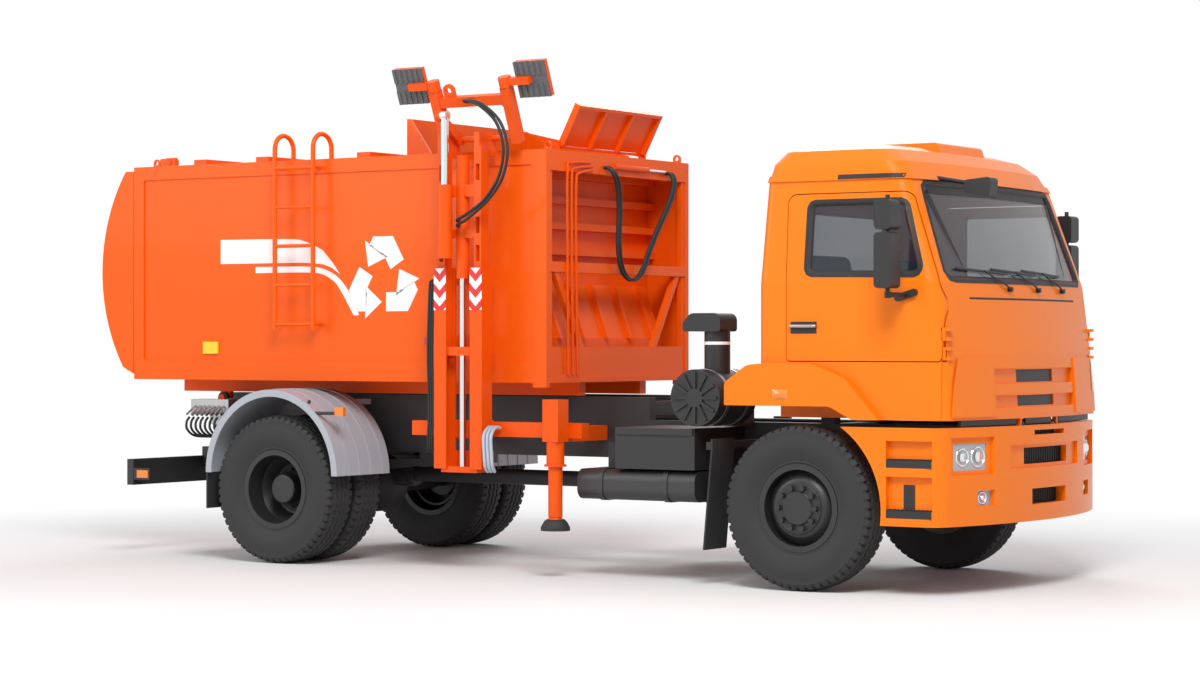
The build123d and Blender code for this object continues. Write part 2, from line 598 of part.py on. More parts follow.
# Cab shell, lofted through plan sections
Section = namedtuple("Section", "z rear front half_width bow front_corner rear_corner")
CAB_SECTIONS = (
    Section(CAB_BOTTOM_Z, CAB_REAR_X, FRONT_AXLE_X + 1155, CAB_HALF_WIDTH, 110, 100, 60),
    Section(1500, CAB_REAR_X, FRONT_AXLE_X + 1130, CAB_HALF_WIDTH, 110, 100, 60),
    Section(1940, CAB_REAR_X, FRONT_AXLE_X + 1065, CAB_HALF_WIDTH, 100, 100, 60),
    Section(GUTTER_Z, CAB_REAR_X + 40, FRONT_AXLE_X + 820, CAB_HALF_WIDTH - 40, 80, 100, 60),
    Section(2700, CAB_REAR_X + 55, FRONT_AXLE_X + 755, CAB_HALF_WIDTH - 65, 80, 140, 90),
    Section(2780, CAB_REAR_X + 95, FRONT_AXLE_X + 650, CAB_HALF_WIDTH - 140, 80, 140, 110),
    Section(2815, CAB_REAR_X + 170, FRONT_AXLE_X + 520, CAB_HALF_WIDTH - 280, 60, 120, 110),
)
LEAST_CORNER = 10.0


def cab_section(section, inset):
    half, rear, front = section.half_width - inset, section.rear + inset, section.front - inset
    corner = front - section.bow
    sides = [Line((corner, -half), (rear, -half)), Line((rear, -half), (rear, half)), Line((rear, half), (corner, half))]
    bow = ThreePointArc((corner, half), (front, 0), (corner, -half))
    face = make_face(sides + [bow])
    for y in (-half, half):
        face = fillet(face.vertices().sort_by_distance((corner, y))[0], section.front_corner - inset)
        rear_corner = max(section.rear_corner - inset, LEAST_CORNER)
        face = fillet(face.vertices().sort_by_distance((rear, y))[0], rear_corner)
    return face


def cab_form(inset, floor=0.0, ceiling=0.0):
    """Solid cab form, its faces moved in by the inset, its floor up and its ceiling down."""
    faces = []
    for section in CAB_SECTIONS:
        rise = floor if section is CAB_SECTIONS[0] else 0.0
        drop = ceiling if section is CAB_SECTIONS[-1] else 0.0
        faces.append((Pos(0, 0, section.z + rise - drop) * cab_section(section, inset)).faces()[0])
    return loft(faces, ruled=True)


cab_outer = cab_form(0)
cab_shell = cab_outer - cab_form(CAB_WALL, CAB_FLOOR, CAB_CEILING)

# Outlines of the cab's openings, as (X, Z, corner radius) or (Y, Z, corner radius)
WING_REAR_X = FRONT_AXLE_X - 495.0
WING_FRONT_X = FRONT_AXLE_X + 600.0
WING_OPENING_Z = 1170.0
WING_OPENING = ((260.0, WING_OPENING_Z), (420.0, CAB_BOTTOM_Z))
DOOR_OUTLINE = ((DOOR_REAR_X, DOOR_BOTTOM_Z, 20), (DOOR_REAR_X, 2500, 60), (FRONT_AXLE_X + 770, 2500, 60),
                (FRONT_AXLE_X + 960, 1960, 60), (DOOR_FRONT_X, 1800, 60), (DOOR_FRONT_X, DOOR_BOTTOM_Z, 20))
WINDOW_OUTLINE = ((FRONT_AXLE_X + 77, 2006, 30), (FRONT_AXLE_X + 91, 2440, 30), (FRONT_AXLE_X + 742, 2440, 40),
                  (FRONT_AXLE_X + 868, 1995, 40))
SCREEN_OUTLINE = ((-1005, 1965, 50), (-940, 2558, 50), (940, 2558, 50), (1005, 1965, 50))
REAR_WINDOW_OUTLINE = ((-520, 2020, 50), (-520, 2420, 50), (520, 2420, 50), (520, 2020, 50))
DOOR_SIDE_Y = CAB_HALF_WIDTH - CAB_WALL
DOOR_RANGE_Y = Span(DOOR_SIDE_Y - 60.0, WING_SIDE_Y)
CUT_RANGE_Y = Span(DOOR_RANGE_Y.low - PANEL_GAP, DOOR_RANGE_Y.high)
SCREEN_X = Span(FRONT_AXLE_X + 400.0, NOSE_X)
REAR_WINDOW_X = Span(CAB_REAR_X - 50.0, CAB_REAR_X + 200.0)
FRONT_FACE_X = Span(FRONT_AXLE_X + 900.0, NOSE_X)
PANEL_LIMITS = (Pocket((-605, 605), (CAB_BOTTOM_Z + 50.0, 1490.0)), Pocket((-880, 880), (1485.0, 1880.0)))
GRILLE_BAYS = (Pocket((-620, 620), (1160.0, 1240.0)), Pocket((-620, 620), (1310.0, 1405.0)))
GRILLE_HOLES = (Pocket((-280, 280), (1168.0, 1234.0)), Pocket((-280, 280), (1318.0, 1398.0)))
GRILLE_DEPTH = 25.0
GRILLE_MESH = 10.0
CORNER_PANEL = Pocket((622, 1165), (CAB_BOTTOM_Z + 18.0, 1470.0))
CORNER_PANEL_X = Span(DOOR_FRONT_X + 57.0, NOSE_X)
CORNER_RAISE = 10.0
SEAM_DEPTH = 5.0


def face_block(pocket):
    """Block through the cab's front over a pocket's limits."""
    return block(FRONT_FACE_X, pocket.y, pocket.z)


def door_prism(gap, y):
    """Door outline, pushed outwards by a gap and carried across between two Y limits."""
    plane = Plane((0, y[1], 0), x_dir=(1, 0, 0), z_dir=(0, -1, 0))
    face = offset(flat(DOOR_OUTLINE), gap, kind=Kind.INTERSECTION) if gap else flat(DOOR_OUTLINE)
    return extrude(plane * face, y[1] - y[0], dir=(0, -1, 0))


def wheel_arch_cut():
    """Room over the left front wheel, up to the wing's opening."""
    rear, (bend, front) = CAB_REAR_X - WING_GAP, [(FRONT_AXLE_X + x, z) for x, z in WING_OPENING]
    outline = [(rear, AXLE_Z, 0), (rear, WING_OPENING_Z, 0), (*bend, 60), (*front, 0), (front[0], AXLE_Z, 0)]
    return side_prism(outline, (LINER_INNER_Y - 30, WING_SIDE_Y))


screen_prism = cross_prism(SCREEN_OUTLINE, SCREEN_X)
rear_prism = cross_prism(REAR_WINDOW_OUTLINE, REAR_WINDOW_X)
window_prism = side_prism(WINDOW_OUTLINE, DOOR_RANGE_Y)
above_gutter = block((CAB_REAR_X - FAR, NOSE_X), (-FAR, FAR), (GUTTER_Z, FAR))
front_limits = face_block(PANEL_LIMITS[0]) + face_block(PANEL_LIMITS[1])

# Cab roof with a drip lip along the gutter and a hatch
ROOF_LIP = 12.0
ROOF_LIP_HEIGHT = 38.0
HATCH_X = Span(FRONT_AXLE_X + 10.0, FRONT_AXLE_X + 605.0)
HATCH_Z = Span(2785.0, 2855.0)
HATCH_HALF_WIDTH = 330.0
HATCH_SLOPE = 25.0


def cab_roof():
    lip = (cab_form(-ROOF_LIP) - cab_outer) & block(
        (CAB_REAR_X - FAR, NOSE_X), (-FAR, FAR), (GUTTER_Z, GUTTER_Z + ROOF_LIP_HEIGHT))
    hatch = side_prism([(HATCH_X.low, HATCH_Z.low, 0), (HATCH_X.low + HATCH_SLOPE, HATCH_Z.high, HATCH_SLOPE),
                        (HATCH_X.high - HATCH_SLOPE, HATCH_Z.high, HATCH_SLOPE), (HATCH_X.high, HATCH_Z.low, 0)],
                       around(0, HATCH_HALF_WIDTH))
    return (cab_shell & above_gutter) + lip + hatch


def front_panel():
    """Opening panel of the cab's front, with two recessed grille bays and their holes."""
    panel = (cab_outer - cab_form(CAB_WALL, 0, CAB_CEILING)) & front_limits
    for bay in GRILLE_BAYS:
        panel -= face_block(bay) - cab_form(GRILLE_DEPTH)
    return panel - [face_block(hole) for hole in GRILLE_HOLES]


nodes["cab_roof"] = cab_roof()
nodes["front_panel"] = front_panel()

# Door hinges: the door's knuckle turns on a pin between two knuckles of the cab
HINGES_Z = (Span(1480.0, 1520.0), Span(1600.0, 1640.0))
HINGE_END = 20.0
HINGE_X = DOOR_FRONT_X + PANEL_GAP
HINGE_Y = CAB_HALF_WIDTH - 42.0
KNUCKLE_RADIUS = 12.0
HINGE_PIN_RADIUS = 6.0
KNUCKLE_ROOM = 18.0
CORNER_ROOM = 28.0
LEAF_LENGTH = 40.0
LEAF_DEPTH = 30.0
LUG_Y = Span(CAB_EAR_Y.high + 6.0, CAB_EAR_Y.high + 30.0)
LUG_FRONT = 12.0


def upright(z, radius):
    """Round bar standing on the left door's hinge axis."""
    return rod_z(HINGE_X, HINGE_Y, z, radius)


def hinge_ends(z):
    """Outer limits of a hinge, over the cab's two knuckles."""
    return Span(z.low - HINGE_END, z.high + HINGE_END)


def cab_hinge(z):
    """Two knuckles with their leaves and the pin between them."""
    ends = hinge_ends(z)
    hinge = upright(ends, HINGE_PIN_RADIUS)
    for span in ((ends.low, z.low - SEAT_GAP), (z.high + SEAT_GAP, ends.high)):
        leaf = block((HINGE_X, HINGE_X + LEAF_LENGTH), (HINGE_Y - LEAF_DEPTH - KNUCKLE_RADIUS, HINGE_Y), span)
        hinge += upright(span, KNUCKLE_RADIUS) + leaf
    return hinge


def cab_lug():
    """Lug and pin of the left side, on which the cab tilts forward."""
    lug = block((CAB_PIVOT_X - CAB_PIVOT_RADIUS, CAB_PIVOT_X + LUG_FRONT), LUG_Y,
                (CAB_PIVOT_Z - CAB_PIN_RADIUS, CAB_BOTTOM_Z + CAB_PIN_RADIUS))
    return lug + rod_y(CAB_PIVOT_X, (CAB_EAR_Y.low - CAB_PIN_RADIUS, LUG_Y.high), CAB_PIVOT_Z, CAB_PIN_RADIUS)


def cab_body():
    door_cut = door_prism(PANEL_GAP, CUT_RANGE_Y)
    arch_cut = wheel_arch_cut()
    body = cab_shell - above_gutter - screen_prism - rear_prism - front_limits
    body += (cab_shell & front_limits) & cab_form(CAB_WALL, 0, CAB_CEILING)
    raised = cab_form(-CORNER_RAISE) - cab_outer
    groove = (cab_outer - cab_form(SEAM_DEPTH)) & block(
        (DOOR_FRONT_X, HINGE_X), (DOOR_SIDE_Y - 60, FAR), (CAB_BOTTOM_Z, DOOR_BOTTOM_Z))
    for turn in (lambda piece: piece, left_of):
        body -= turn(door_cut) + turn(arch_cut)
        body -= turn(groove)
        body += turn(raised & block(CORNER_PANEL_X, CORNER_PANEL.y, CORNER_PANEL.z))
        body -= turn(upright((DOOR_BOTTOM_Z - PANEL_GAP, HINGES_Z[-1].high + HINGE_END), KNUCKLE_ROOM))
        body = body.fuse(*[turn(cab_hinge(z)) for z in HINGES_Z], turn(cab_lug()))
    return body


def door_left():
    door = (cab_shell & door_prism(0, DOOR_RANGE_Y)) - window_prism
    door -= upright((CAB_BOTTOM_Z, HINGES_Z[0].low - HINGE_END / 2), CORNER_ROOM)
    for z in HINGES_Z:
        ends = hinge_ends(z)
        door -= upright((ends.low - SEAT_GAP, ends.high + SEAT_GAP), KNUCKLE_ROOM)
        door += upright(z, KNUCKLE_RADIUS) + block((HINGE_X - LEAF_LENGTH, HINGE_X), (HINGE_Y - LEAF_DEPTH, HINGE_Y), z)
        door -= upright(ends, HINGE_PIN_RADIUS + RUNNING_GAP)
    return door


nodes["cab_body"] = cab_body()
nodes["door_left"] = door_left()
nodes["door_right"] = left_of(nodes["door_left"])

# Glass, set in from the outer faces
GLASS_INSET = 14.0
glass_shell = (cab_form(GLASS_INSET, CAB_FLOOR, CAB_CEILING)
               - cab_form(GLASS_INSET + GLASS_THICKNESS, CAB_FLOOR, CAB_CEILING))
nodes["cab_glass"] = Compound([glass_shell & screen_prism, glass_shell & rear_prism])
nodes["door_glass_left"] = glass_shell & window_prism
nodes["door_glass_right"] = left_of(nodes["door_glass_left"])

# Black trim of the cab: grille mesh, seal over the bumper and kerb mirror
SEAL_DEPTH = Span(15.0, 32.0)
SEAL_Z = Span(BUMPER_TOP_Z + 7.0, CAB_BOTTOM_Z)
SEAL_SPANS_Y = (Span(-980.0, -330.0), Span(-200.0, 200.0), Span(330.0, 980.0))
KERB_MIRROR_Y = Span(-790.0, -680.0)
KERB_MIRROR = ((985.0, 2500.0, 20), (990.0, 2580.0, 20), (1170.0, 2595.0, 25), (1160.0, 2465.0, 25))
KERB_ARM = ((760.0, -735.0, 2604.0), (1010.0, -735.0, 2560.0))
KERB_ARM_RADIUS = 14.0


def cab_trim():
    mesh_layer = cab_form(CAB_WALL - GRILLE_MESH, 0, CAB_CEILING) - cab_form(CAB_WALL, 0, CAB_CEILING)
    meshes = [mesh_layer & face_block(hole) for hole in GRILLE_HOLES]
    ring = cab_section(CAB_SECTIONS[0], SEAL_DEPTH.low) - cab_section(CAB_SECTIONS[0], SEAL_DEPTH.high)
    strip = extrude(Pos(0, 0, SEAL_Z.low) * ring, SEAL_Z.high - SEAL_Z.low, dir=(0, 0, 1))
    seals = [strip & block(FRONT_FACE_X, y, SEAL_Z) for y in SEAL_SPANS_Y]
    mirror_head = side_prism([(FRONT_AXLE_X + x, z, bend) for x, z, bend in KERB_MIRROR], KERB_MIRROR_Y)
    start, end = [(FRONT_AXLE_X + x, y, z) for x, y, z in KERB_ARM]
    arm = rod(start, end, KERB_ARM_RADIUS) - cab_form(-ROOF_LIP)
    return Compound(meshes + seals + [mirror_head + arm])


nodes["cab_trim"] = cab_trim()

# Front wings: outer face and liner over each front wheel, carried by the cab
WING_SKIN = 12.0
WING_OUTLINE = ((WING_REAR_X, WING_OPENING_Z, 15), (WING_REAR_X, WING_TOP_Z - 125, 40),
                (FRONT_AXLE_X - 330, WING_TOP_Z - 12, 110), (FRONT_AXLE_X - 180, WING_TOP_Z, 60),
                (FRONT_AXLE_X + 120, WING_TOP_Z, 160), (FRONT_AXLE_X + 365, WING_TOP_Z - 90, 220),
                (WING_FRONT_X, CAB_BOTTOM_Z, 0), (FRONT_AXLE_X + 420, CAB_BOTTOM_Z, 0),
                (FRONT_AXLE_X + 260, WING_OPENING_Z, 60))


def front_wing():
    skin = side_prism(WING_OUTLINE, (CAB_HALF_WIDTH + SEAT_GAP, WING_SIDE_Y))
    liner = block((WING_REAR_X, CAB_REAR_X - PANEL_GAP), (LINER_INNER_Y, WING_SIDE_Y - SEAT_GAP),
                  (WING_OPENING_Z, WING_OPENING_Z + WING_SKIN))
    return skin + liner


nodes["front_wings"] = pair(front_wing())

# Cab inside: dashboard, seats and steering wheel
FLOOR_TOP_Z = CAB_BOTTOM_Z + CAB_FLOOR
DASH_HALF_WIDTH = 1000.0
DASH_OUTLINE = ((FRONT_AXLE_X + 720, 1480, 30), (FRONT_AXLE_X + 720, 1850, 40), (FRONT_AXLE_X + 930, 1900, 30),
                (FRONT_AXLE_X + 960, 1480, 0))
DASH_LEG_X = Span(FRONT_AXLE_X + 780.0, FRONT_AXLE_X + 940.0)
DASH_LEG_HALF = 200.0
SEAT_X = FRONT_AXLE_X + 60.0
SEAT_HALF_WIDTH = 250.0
SEATS_Y = (-560.0, 560.0)
SEAT_OUTLINE = ((-160, FLOOR_TOP_Z, 0), (-160, 1500, 30), (-250, 2120, 60), (-130, 2140, 60), (-10, 1560, 40),
                (300, 1580, 60), (320, 1450, 40), (180, 1420, 30), (180, FLOOR_TOP_Z, 0))
STEER_CENTRE = (FRONT_AXLE_X + 560.0, 520.0, 1880.0)
STEER_TILT = math.radians(32.0)
STEER_RADIUS = 230.0
STEER_RIM = 16.0
SPOKE = (34.0, 14.0)
COLUMN_RADIUS = 32.0
COLUMN_LENGTH = 400.0
STEER_HUB = (60.0, 40.0)
steer_plane = Plane(origin=STEER_CENTRE, z_dir=(-math.sin(STEER_TILT), 0, math.cos(STEER_TILT)))


def steering_post(radius, length):
    """Round bar hanging from the steering wheel's centre."""
    return steer_plane * Pos(0, 0, -length) * Cylinder(radius, length, align=(Align.CENTER, Align.CENTER, Align.MIN))


def steering_wheel():
    spokes = Box(2 * STEER_RADIUS, *SPOKE) + Box(SPOKE[0], 2 * STEER_RADIUS, SPOKE[1])
    wheel = steer_plane * (Torus(STEER_RADIUS, STEER_RIM) + spokes)
    return wheel + steering_post(*STEER_HUB) + steering_post(COLUMN_RADIUS, COLUMN_LENGTH)


def dashboard():
    top = side_prism(DASH_OUTLINE, around(0, DASH_HALF_WIDTH))
    leg = block(DASH_LEG_X, around(0, DASH_LEG_HALF), (FLOOR_TOP_Z, DASH_OUTLINE[0][1]))
    return (top + leg) - steering_post(COLUMN_RADIUS + RUNNING_GAP, COLUMN_LENGTH * 2)


nodes["dashboard"] = dashboard()
seat_outline = [(SEAT_X + x, z, bend) for x, z, bend in SEAT_OUTLINE]
nodes["seats"] = Compound([side_prism(seat_outline, around(y, SEAT_HALF_WIDTH)) for y in SEATS_Y])
nodes["steering_wheel"] = steering_wheel()

# Mirrors on each door: two heads on a post, with an arm and foot
MIRROR_X = FRONT_AXLE_X + 745.0
MIRROR_Y = Span(1295.0, 1425.0)
MIRROR_HALF = 58.0
MIRROR_HEADS_Z = (Span(1900.0, 2240.0), Span(2258.0, 2440.0))
MIRROR_CORNER = 28.0
MIRROR_POST_Y = 1350.0
MIRROR_POST_Z = Span(1870.0, 2470.0)
MIRROR_POST_RADIUS = 14.0
MIRROR_ARM_Z = 1860.0
MIRROR_ARM_RADIUS = 16.0
MIRROR_FOOT_X = FRONT_AXLE_X + 775.0
MIRROR_FOOT = (75.0, 25.0, 45.0)


def mirrors():
    head = rod_z(MIRROR_X, MIRROR_POST_Y, MIRROR_POST_Z, MIRROR_POST_RADIUS)
    for z in MIRROR_HEADS_Z:
        outline = [(MIRROR_X - MIRROR_HALF, z.low), (MIRROR_X - MIRROR_HALF, z.high),
                   (MIRROR_X + MIRROR_HALF, z.high), (MIRROR_X + MIRROR_HALF, z.low)]
        head += side_prism([(u, v, MIRROR_CORNER) for u, v in outline], MIRROR_Y)
    half_x, depth, half_z = MIRROR_FOOT
    arm = rod((MIRROR_X, MIRROR_POST_Y, MIRROR_ARM_Z),
              (MIRROR_FOOT_X, CAB_HALF_WIDTH + depth / 2, MIRROR_ARM_Z), MIRROR_ARM_RADIUS)
    joint = rod_z(MIRROR_X, MIRROR_POST_Y, around(MIRROR_ARM_Z, MIRROR_ARM_RADIUS + 4), MIRROR_ARM_RADIUS + 4)
    foot = side_prism([(MIRROR_FOOT_X - half_x, MIRROR_ARM_Z - half_z, 20), (MIRROR_FOOT_X - half_x, MIRROR_ARM_Z, 20),
                       (MIRROR_FOOT_X + half_x, MIRROR_ARM_Z + half_z, 20), (MIRROR_FOOT_X + half_x, MIRROR_ARM_Z, 20)],
                      (CAB_HALF_WIDTH + SEAT_GAP, CAB_HALF_WIDTH + depth))
    return head + arm + joint + foot


nodes["mirrors_left"] = mirrors()
nodes["mirrors_right"] = left_of(nodes["mirrors_left"])

# Refuse body: floor with its sills and tipping pins, walls, roof and front frame
SILL_END = 60.0
SILL_Z = Span(SUBFRAME_TOP_Z + PANEL_GAP, FLOOR_UNDER_Z)
TIP_LUG_Y = Span(RAIL_OUTER_Y - TIP_EAR_WIDTH - 40.0, RAIL_OUTER_Y - TIP_EAR_WIDTH - 5.0)
TIP_LUG_RADIUS = 50.0
TIP_PIN_PROUD = 10.0


def body_floor():
    deck = block((BODY_REAR_X, BODY_FRONT_X), (-BODY_INNER_Y, BODY_INNER_Y), (FLOOR_UNDER_Z, BODY_BOTTOM_Z))
    pieces = []
    for side in SIDES:
        sill_y = on_side(side, RAIL_INNER_Y, RAIL_OUTER_Y)
        lug_y = on_side(side, *TIP_LUG_Y)
        pin_y = on_side(side, TIP_LUG_Y.low, RAIL_OUTER_Y + TIP_PIN_PROUD)
        pieces.append(block((BODY_REAR_X + SILL_END, BODY_FRONT_X - SILL_END), sill_y, SILL_Z))
        pieces.append(block(around(TIP_AXIS_X, TIP_LUG_RADIUS), lug_y, (TIP_AXIS_Z, SILL_Z.low)))
        pieces.append(rod_y(TIP_AXIS_X, lug_y, TIP_AXIS_Z, TIP_LUG_RADIUS))
        pieces.append(rod_y(TIP_AXIS_X, pin_y, TIP_AXIS_Z, TIP_PIN_RADIUS))
    return deck.fuse(*pieces)


POCKET_CORNER = 20.0


def body_wall_left():
    y = (BODY_INNER_Y, BODY_SIDE_Y)
    wall = block((BODY_REAR_X, BODY_FRONT_X), y, (FLOOR_UNDER_Z, BODY_TOP_Z))
    wall += block((BODY_FRONT_X - FRONT_POST, BODY_FRONT_X), y, (BODY_BOTTOM_Z - FRONT_POST_DROP, FLOOR_UNDER_Z))
    x = Span(BODY_REAR_X + REAR_POST, BODY_FRONT_X - FRONT_POST)
    z = Span(BODY_BOTTOM_Z + BOTTOM_RAIL, BODY_TOP_Z - TOP_RAIL)
    outline = [(x.low, z.low), (x.low, z.high), (x.high, z.high), (x.high, z.low)]
    return wall - side_prism([(u, v, POCKET_CORNER) for u, v in outline], (BODY_SIDE_Y - PANEL_RECESS, FAR))


nodes["body_floor"] = body_floor()
nodes["body_wall_left"] = body_wall_left()
nodes["body_wall_right"] = left_of(nodes["body_wall_left"])

# Body roof: ribs, hopper collar, hinge ears and lifting eyes
ROOF_RIB_SHARES = (0.44, 0.69, 0.85)
ROOF_RIB_HALF = 60.0
ROOF_RIB_HEIGHT = 45.0
HOPPER_LOW_HEIGHT = 60.0
HOPPER_GUSSET = 200.0
FLAP_EAR_Y = Span(FLAP_WIDTH / 2 + 8.0, FLAP_WIDTH / 2 + 32.0)
FLAP_EAR_HALF = 25.0
FLAP_PIN_RADIUS = 10.0
FLAP_PIN_END = FLAP_WIDTH / 2 + 35.0
TAIL_AXIS_X = BODY_REAR_X + 40.0
TAIL_AXIS_Z = BODY_TOP_Z + 60.0
TAIL_EAR_Y = Span(545.0, 575.0)
TAIL_EAR_X = Span(BODY_REAR_X, BODY_REAR_X + 90.0)
TAIL_EAR_RISE = 30.0
TAIL_PIN_RADIUS = 18.0
LIFTING_EYES_X = (BODY_REAR_X + 150.0, BODY_FRONT_X - 45.0)
LIFTING_EYE_Y = Span(832.0, 848.0)
LIFTING_EYE_RADIUS = 30.0
LIFTING_BORE_RADIUS = 16.0


def hopper_collar():
    """Back wall, sloped left wall and a gusset at the open right end."""
    back_x = (HOPPER_REAR_X - HOPPER_WALL, HOPPER_REAR_X)
    edge_y = Span(HOPPER_HALF_WIDTH, HOPPER_HALF_WIDTH + HOPPER_WALL)
    top = BODY_TOP_Z + HOPPER_HEIGHT
    back = block(back_x, (-edge_y.high, edge_y.high), (BODY_TOP_Z, top))
    wall = side_prism([(back_x[0], BODY_TOP_Z, 0), (back_x[0], top, 0),
                       (HOPPER_FRONT_X, BODY_TOP_Z + HOPPER_LOW_HEIGHT, 0), (HOPPER_FRONT_X, BODY_TOP_Z, 0)], edge_y)
    gusset = side_prism([(back_x[0], BODY_TOP_Z, 0), (back_x[0], top, 0), (HOPPER_REAR_X, top, 0),
                         (HOPPER_REAR_X + HOPPER_GUSSET, BODY_TOP_Z, 0)], on_side(-1, *edge_y))
    return back.fuse(wall, gusset)


def body_roof():
    roof = block((BODY_REAR_X, BODY_FRONT_X), (-BODY_INNER_Y, BODY_INNER_Y), (ROOF_UNDER_Z, BODY_TOP_Z))
    roof -= block((HOPPER_REAR_X, HOPPER_FRONT_X), around(0, HOPPER_HALF_WIDTH), (0, FAR))
    rib_y = around(0, BODY_INNER_Y - ROOF_RIB_HALF)
    pieces = [block(around(BODY_FRONT_X - share * BODY_LENGTH, ROOF_RIB_HALF), rib_y,
                    (BODY_TOP_Z, BODY_TOP_Z + ROOF_RIB_HEIGHT)) for share in ROOF_RIB_SHARES]
    for side in SIDES:
        pieces.append(block(around(FLAP_HINGE_X, FLAP_EAR_HALF), on_side(side, *FLAP_EAR_Y),
                            (BODY_TOP_Z, FLAP_HINGE_Z + FLAP_EAR_HALF)))
        pieces.append(block(TAIL_EAR_X, on_side(side, *TAIL_EAR_Y), (BODY_TOP_Z, TAIL_AXIS_Z + TAIL_EAR_RISE)))
        for x in LIFTING_EYES_X:
            eye_y = on_side(side, *LIFTING_EYE_Y)
            eye_z = BODY_TOP_Z + LIFTING_EYE_RADIUS
            plate = block(around(x, LIFTING_EYE_RADIUS), eye_y, (BODY_TOP_Z, eye_z))
            plate += rod_y(x, eye_y, eye_z, LIFTING_EYE_RADIUS)
            pieces.append(plate - rod_y(x, (-FAR, FAR), eye_z, LIFTING_BORE_RADIUS))
    flap_bore = rod_y(FLAP_HINGE_X, around(0, FLAP_WIDTH), FLAP_HINGE_Z, FLAP_PIN_RADIUS + RUNNING_GAP)
    tail_bore = rod_y(TAIL_AXIS_X, around(0, BODY_SIDE_Y), TAIL_AXIS_Z, TAIL_PIN_RADIUS + RUNNING_GAP)
    return roof.fuse(hopper_collar(), *pieces) - flap_bore - tail_bore


nodes["body_roof"] = body_roof()

# Front frame of the body: top, middle and lower members, side posts and braces
FRAME_DEPTH = Span(BODY_FRONT_X - 80.0, BODY_FRONT_X)
SHEET_X = Span(BODY_FRONT_X - 50.0, BODY_FRONT_X - 10.0)
TOP_MEMBER_LOW_Z = BODY_TOP_Z - 140.0
MID_BEAM_Z = Span(BODY_BOTTOM_Z + 715.0, BODY_BOTTOM_Z + 785.0)
LOWER_PANEL_TOP_Z = BODY_BOTTOM_Z + 205.0
SIDE_POST_WIDTH = 40.0
BRACE_Y = Span(430.0, 780.0)
BRACE_WIDTH = 55.0


def body_front_frame():
    y = Span(-BODY_INNER_Y, BODY_INNER_Y)
    pieces = [block(FRAME_DEPTH, y, MID_BEAM_Z), block(SHEET_X, y, (BODY_BOTTOM_Z, LOWER_PANEL_TOP_Z))]
    for side in SIDES:
        post_y = on_side(side, BODY_INNER_Y - SIDE_POST_WIDTH, BODY_INNER_Y)
        pieces.append(block(SHEET_X, post_y, (LOWER_PANEL_TOP_Z, TOP_MEMBER_LOW_Z)))
        low, high = LOWER_PANEL_TOP_Z - BRACE_WIDTH / 2, MID_BEAM_Z.low + BRACE_WIDTH / 2
        brace = [(side * BRACE_Y.low, low, 0), (side * BRACE_Y.high, high, 0),
                 (side * (BRACE_Y.high + BRACE_WIDTH), high, 0), (side * (BRACE_Y.low + BRACE_WIDTH), low, 0)]
        pieces.append(cross_prism(brace, SHEET_X))
    return block(FRAME_DEPTH, y, (TOP_MEMBER_LOW_Z, ROOF_UNDER_Z)).fuse(*pieces)


nodes["body_front_frame"] = body_front_frame()

# Packer plate, which sweeps rearwards under the hopper
PACKER_X = BODY_FRONT_X - 330.0
PACKER_SHEET = 40.0
PACKER_GAP = 8.0
PACKER_TOP_Z = ROOF_UNDER_Z - 20.0
PACKER_RIB_SHARES = (0.57, 0.69, 0.81, 0.93)
PACKER_RIB = (70.0, 50.0)
SLOPE_Z = Span(BODY_BOTTOM_Z + 265.0, BODY_BOTTOM_Z + 645.0)
SLOPE_REACH = Span(60.0, 200.0)
SLOPE_INSET = 120.0
SLOPE_RIBS_Y = (-600.0, -300.0, 0.0, 300.0, 600.0)
SLOPE_RIB_RAISE = 35.0
SLOPE_RIB_HALF = 12.0


def packer_plate():
    y = Span(-BODY_INNER_Y + PACKER_GAP, BODY_INNER_Y - PACKER_GAP)
    low = BODY_BOTTOM_Z + SEAT_GAP
    plate = block((PACKER_X - PACKER_SHEET, PACKER_X), y, (low, PACKER_TOP_Z))
    reach, height = PACKER_RIB
    for share in PACKER_RIB_SHARES:
        z = BODY_BOTTOM_Z + share * (PACKER_TOP_Z - BODY_BOTTOM_Z)
        plate += block((PACKER_X, PACKER_X + reach), y, (z, z + height))
    near, far = PACKER_X + SLOPE_REACH.low, PACKER_X + SLOPE_REACH.high
    plate += side_prism([(PACKER_X, low, 0), (PACKER_X, SLOPE_Z.high, 0), (near, SLOPE_Z.high, 0),
                         (far, SLOPE_Z.low, 0), (far, low, 0)], (y.low + SLOPE_INSET, y.high - SLOPE_INSET))
    rib = [(near, SLOPE_Z.high, 0), (near + SLOPE_RIB_RAISE, SLOPE_Z.high, 0),
           (far + SLOPE_RIB_RAISE, SLOPE_Z.low, 0), (far, SLOPE_Z.low, 0)]
    return plate.fuse(*[side_prism(rib, around(rib_y, SLOPE_RIB_HALF)) for rib_y in SLOPE_RIBS_Y])


nodes["packer_plate"] = packer_plate()

# Hopper flap, resting open: a ribbed sheet built flat on its hinge and then turned up
FLAP_SHEET = 8.0
FLAP_NEAR = 15.0
FLAP_RIB_DEPTH = 40.0
FLAP_RIB_HALF = 12.0
FLAP_RIB_SHARES = (-1.0, -1 / 3, 1 / 3, 1.0)
FLAP_TAB = Span(-10.0, 40.0)
FLAP_TAB_HALF = 30.0


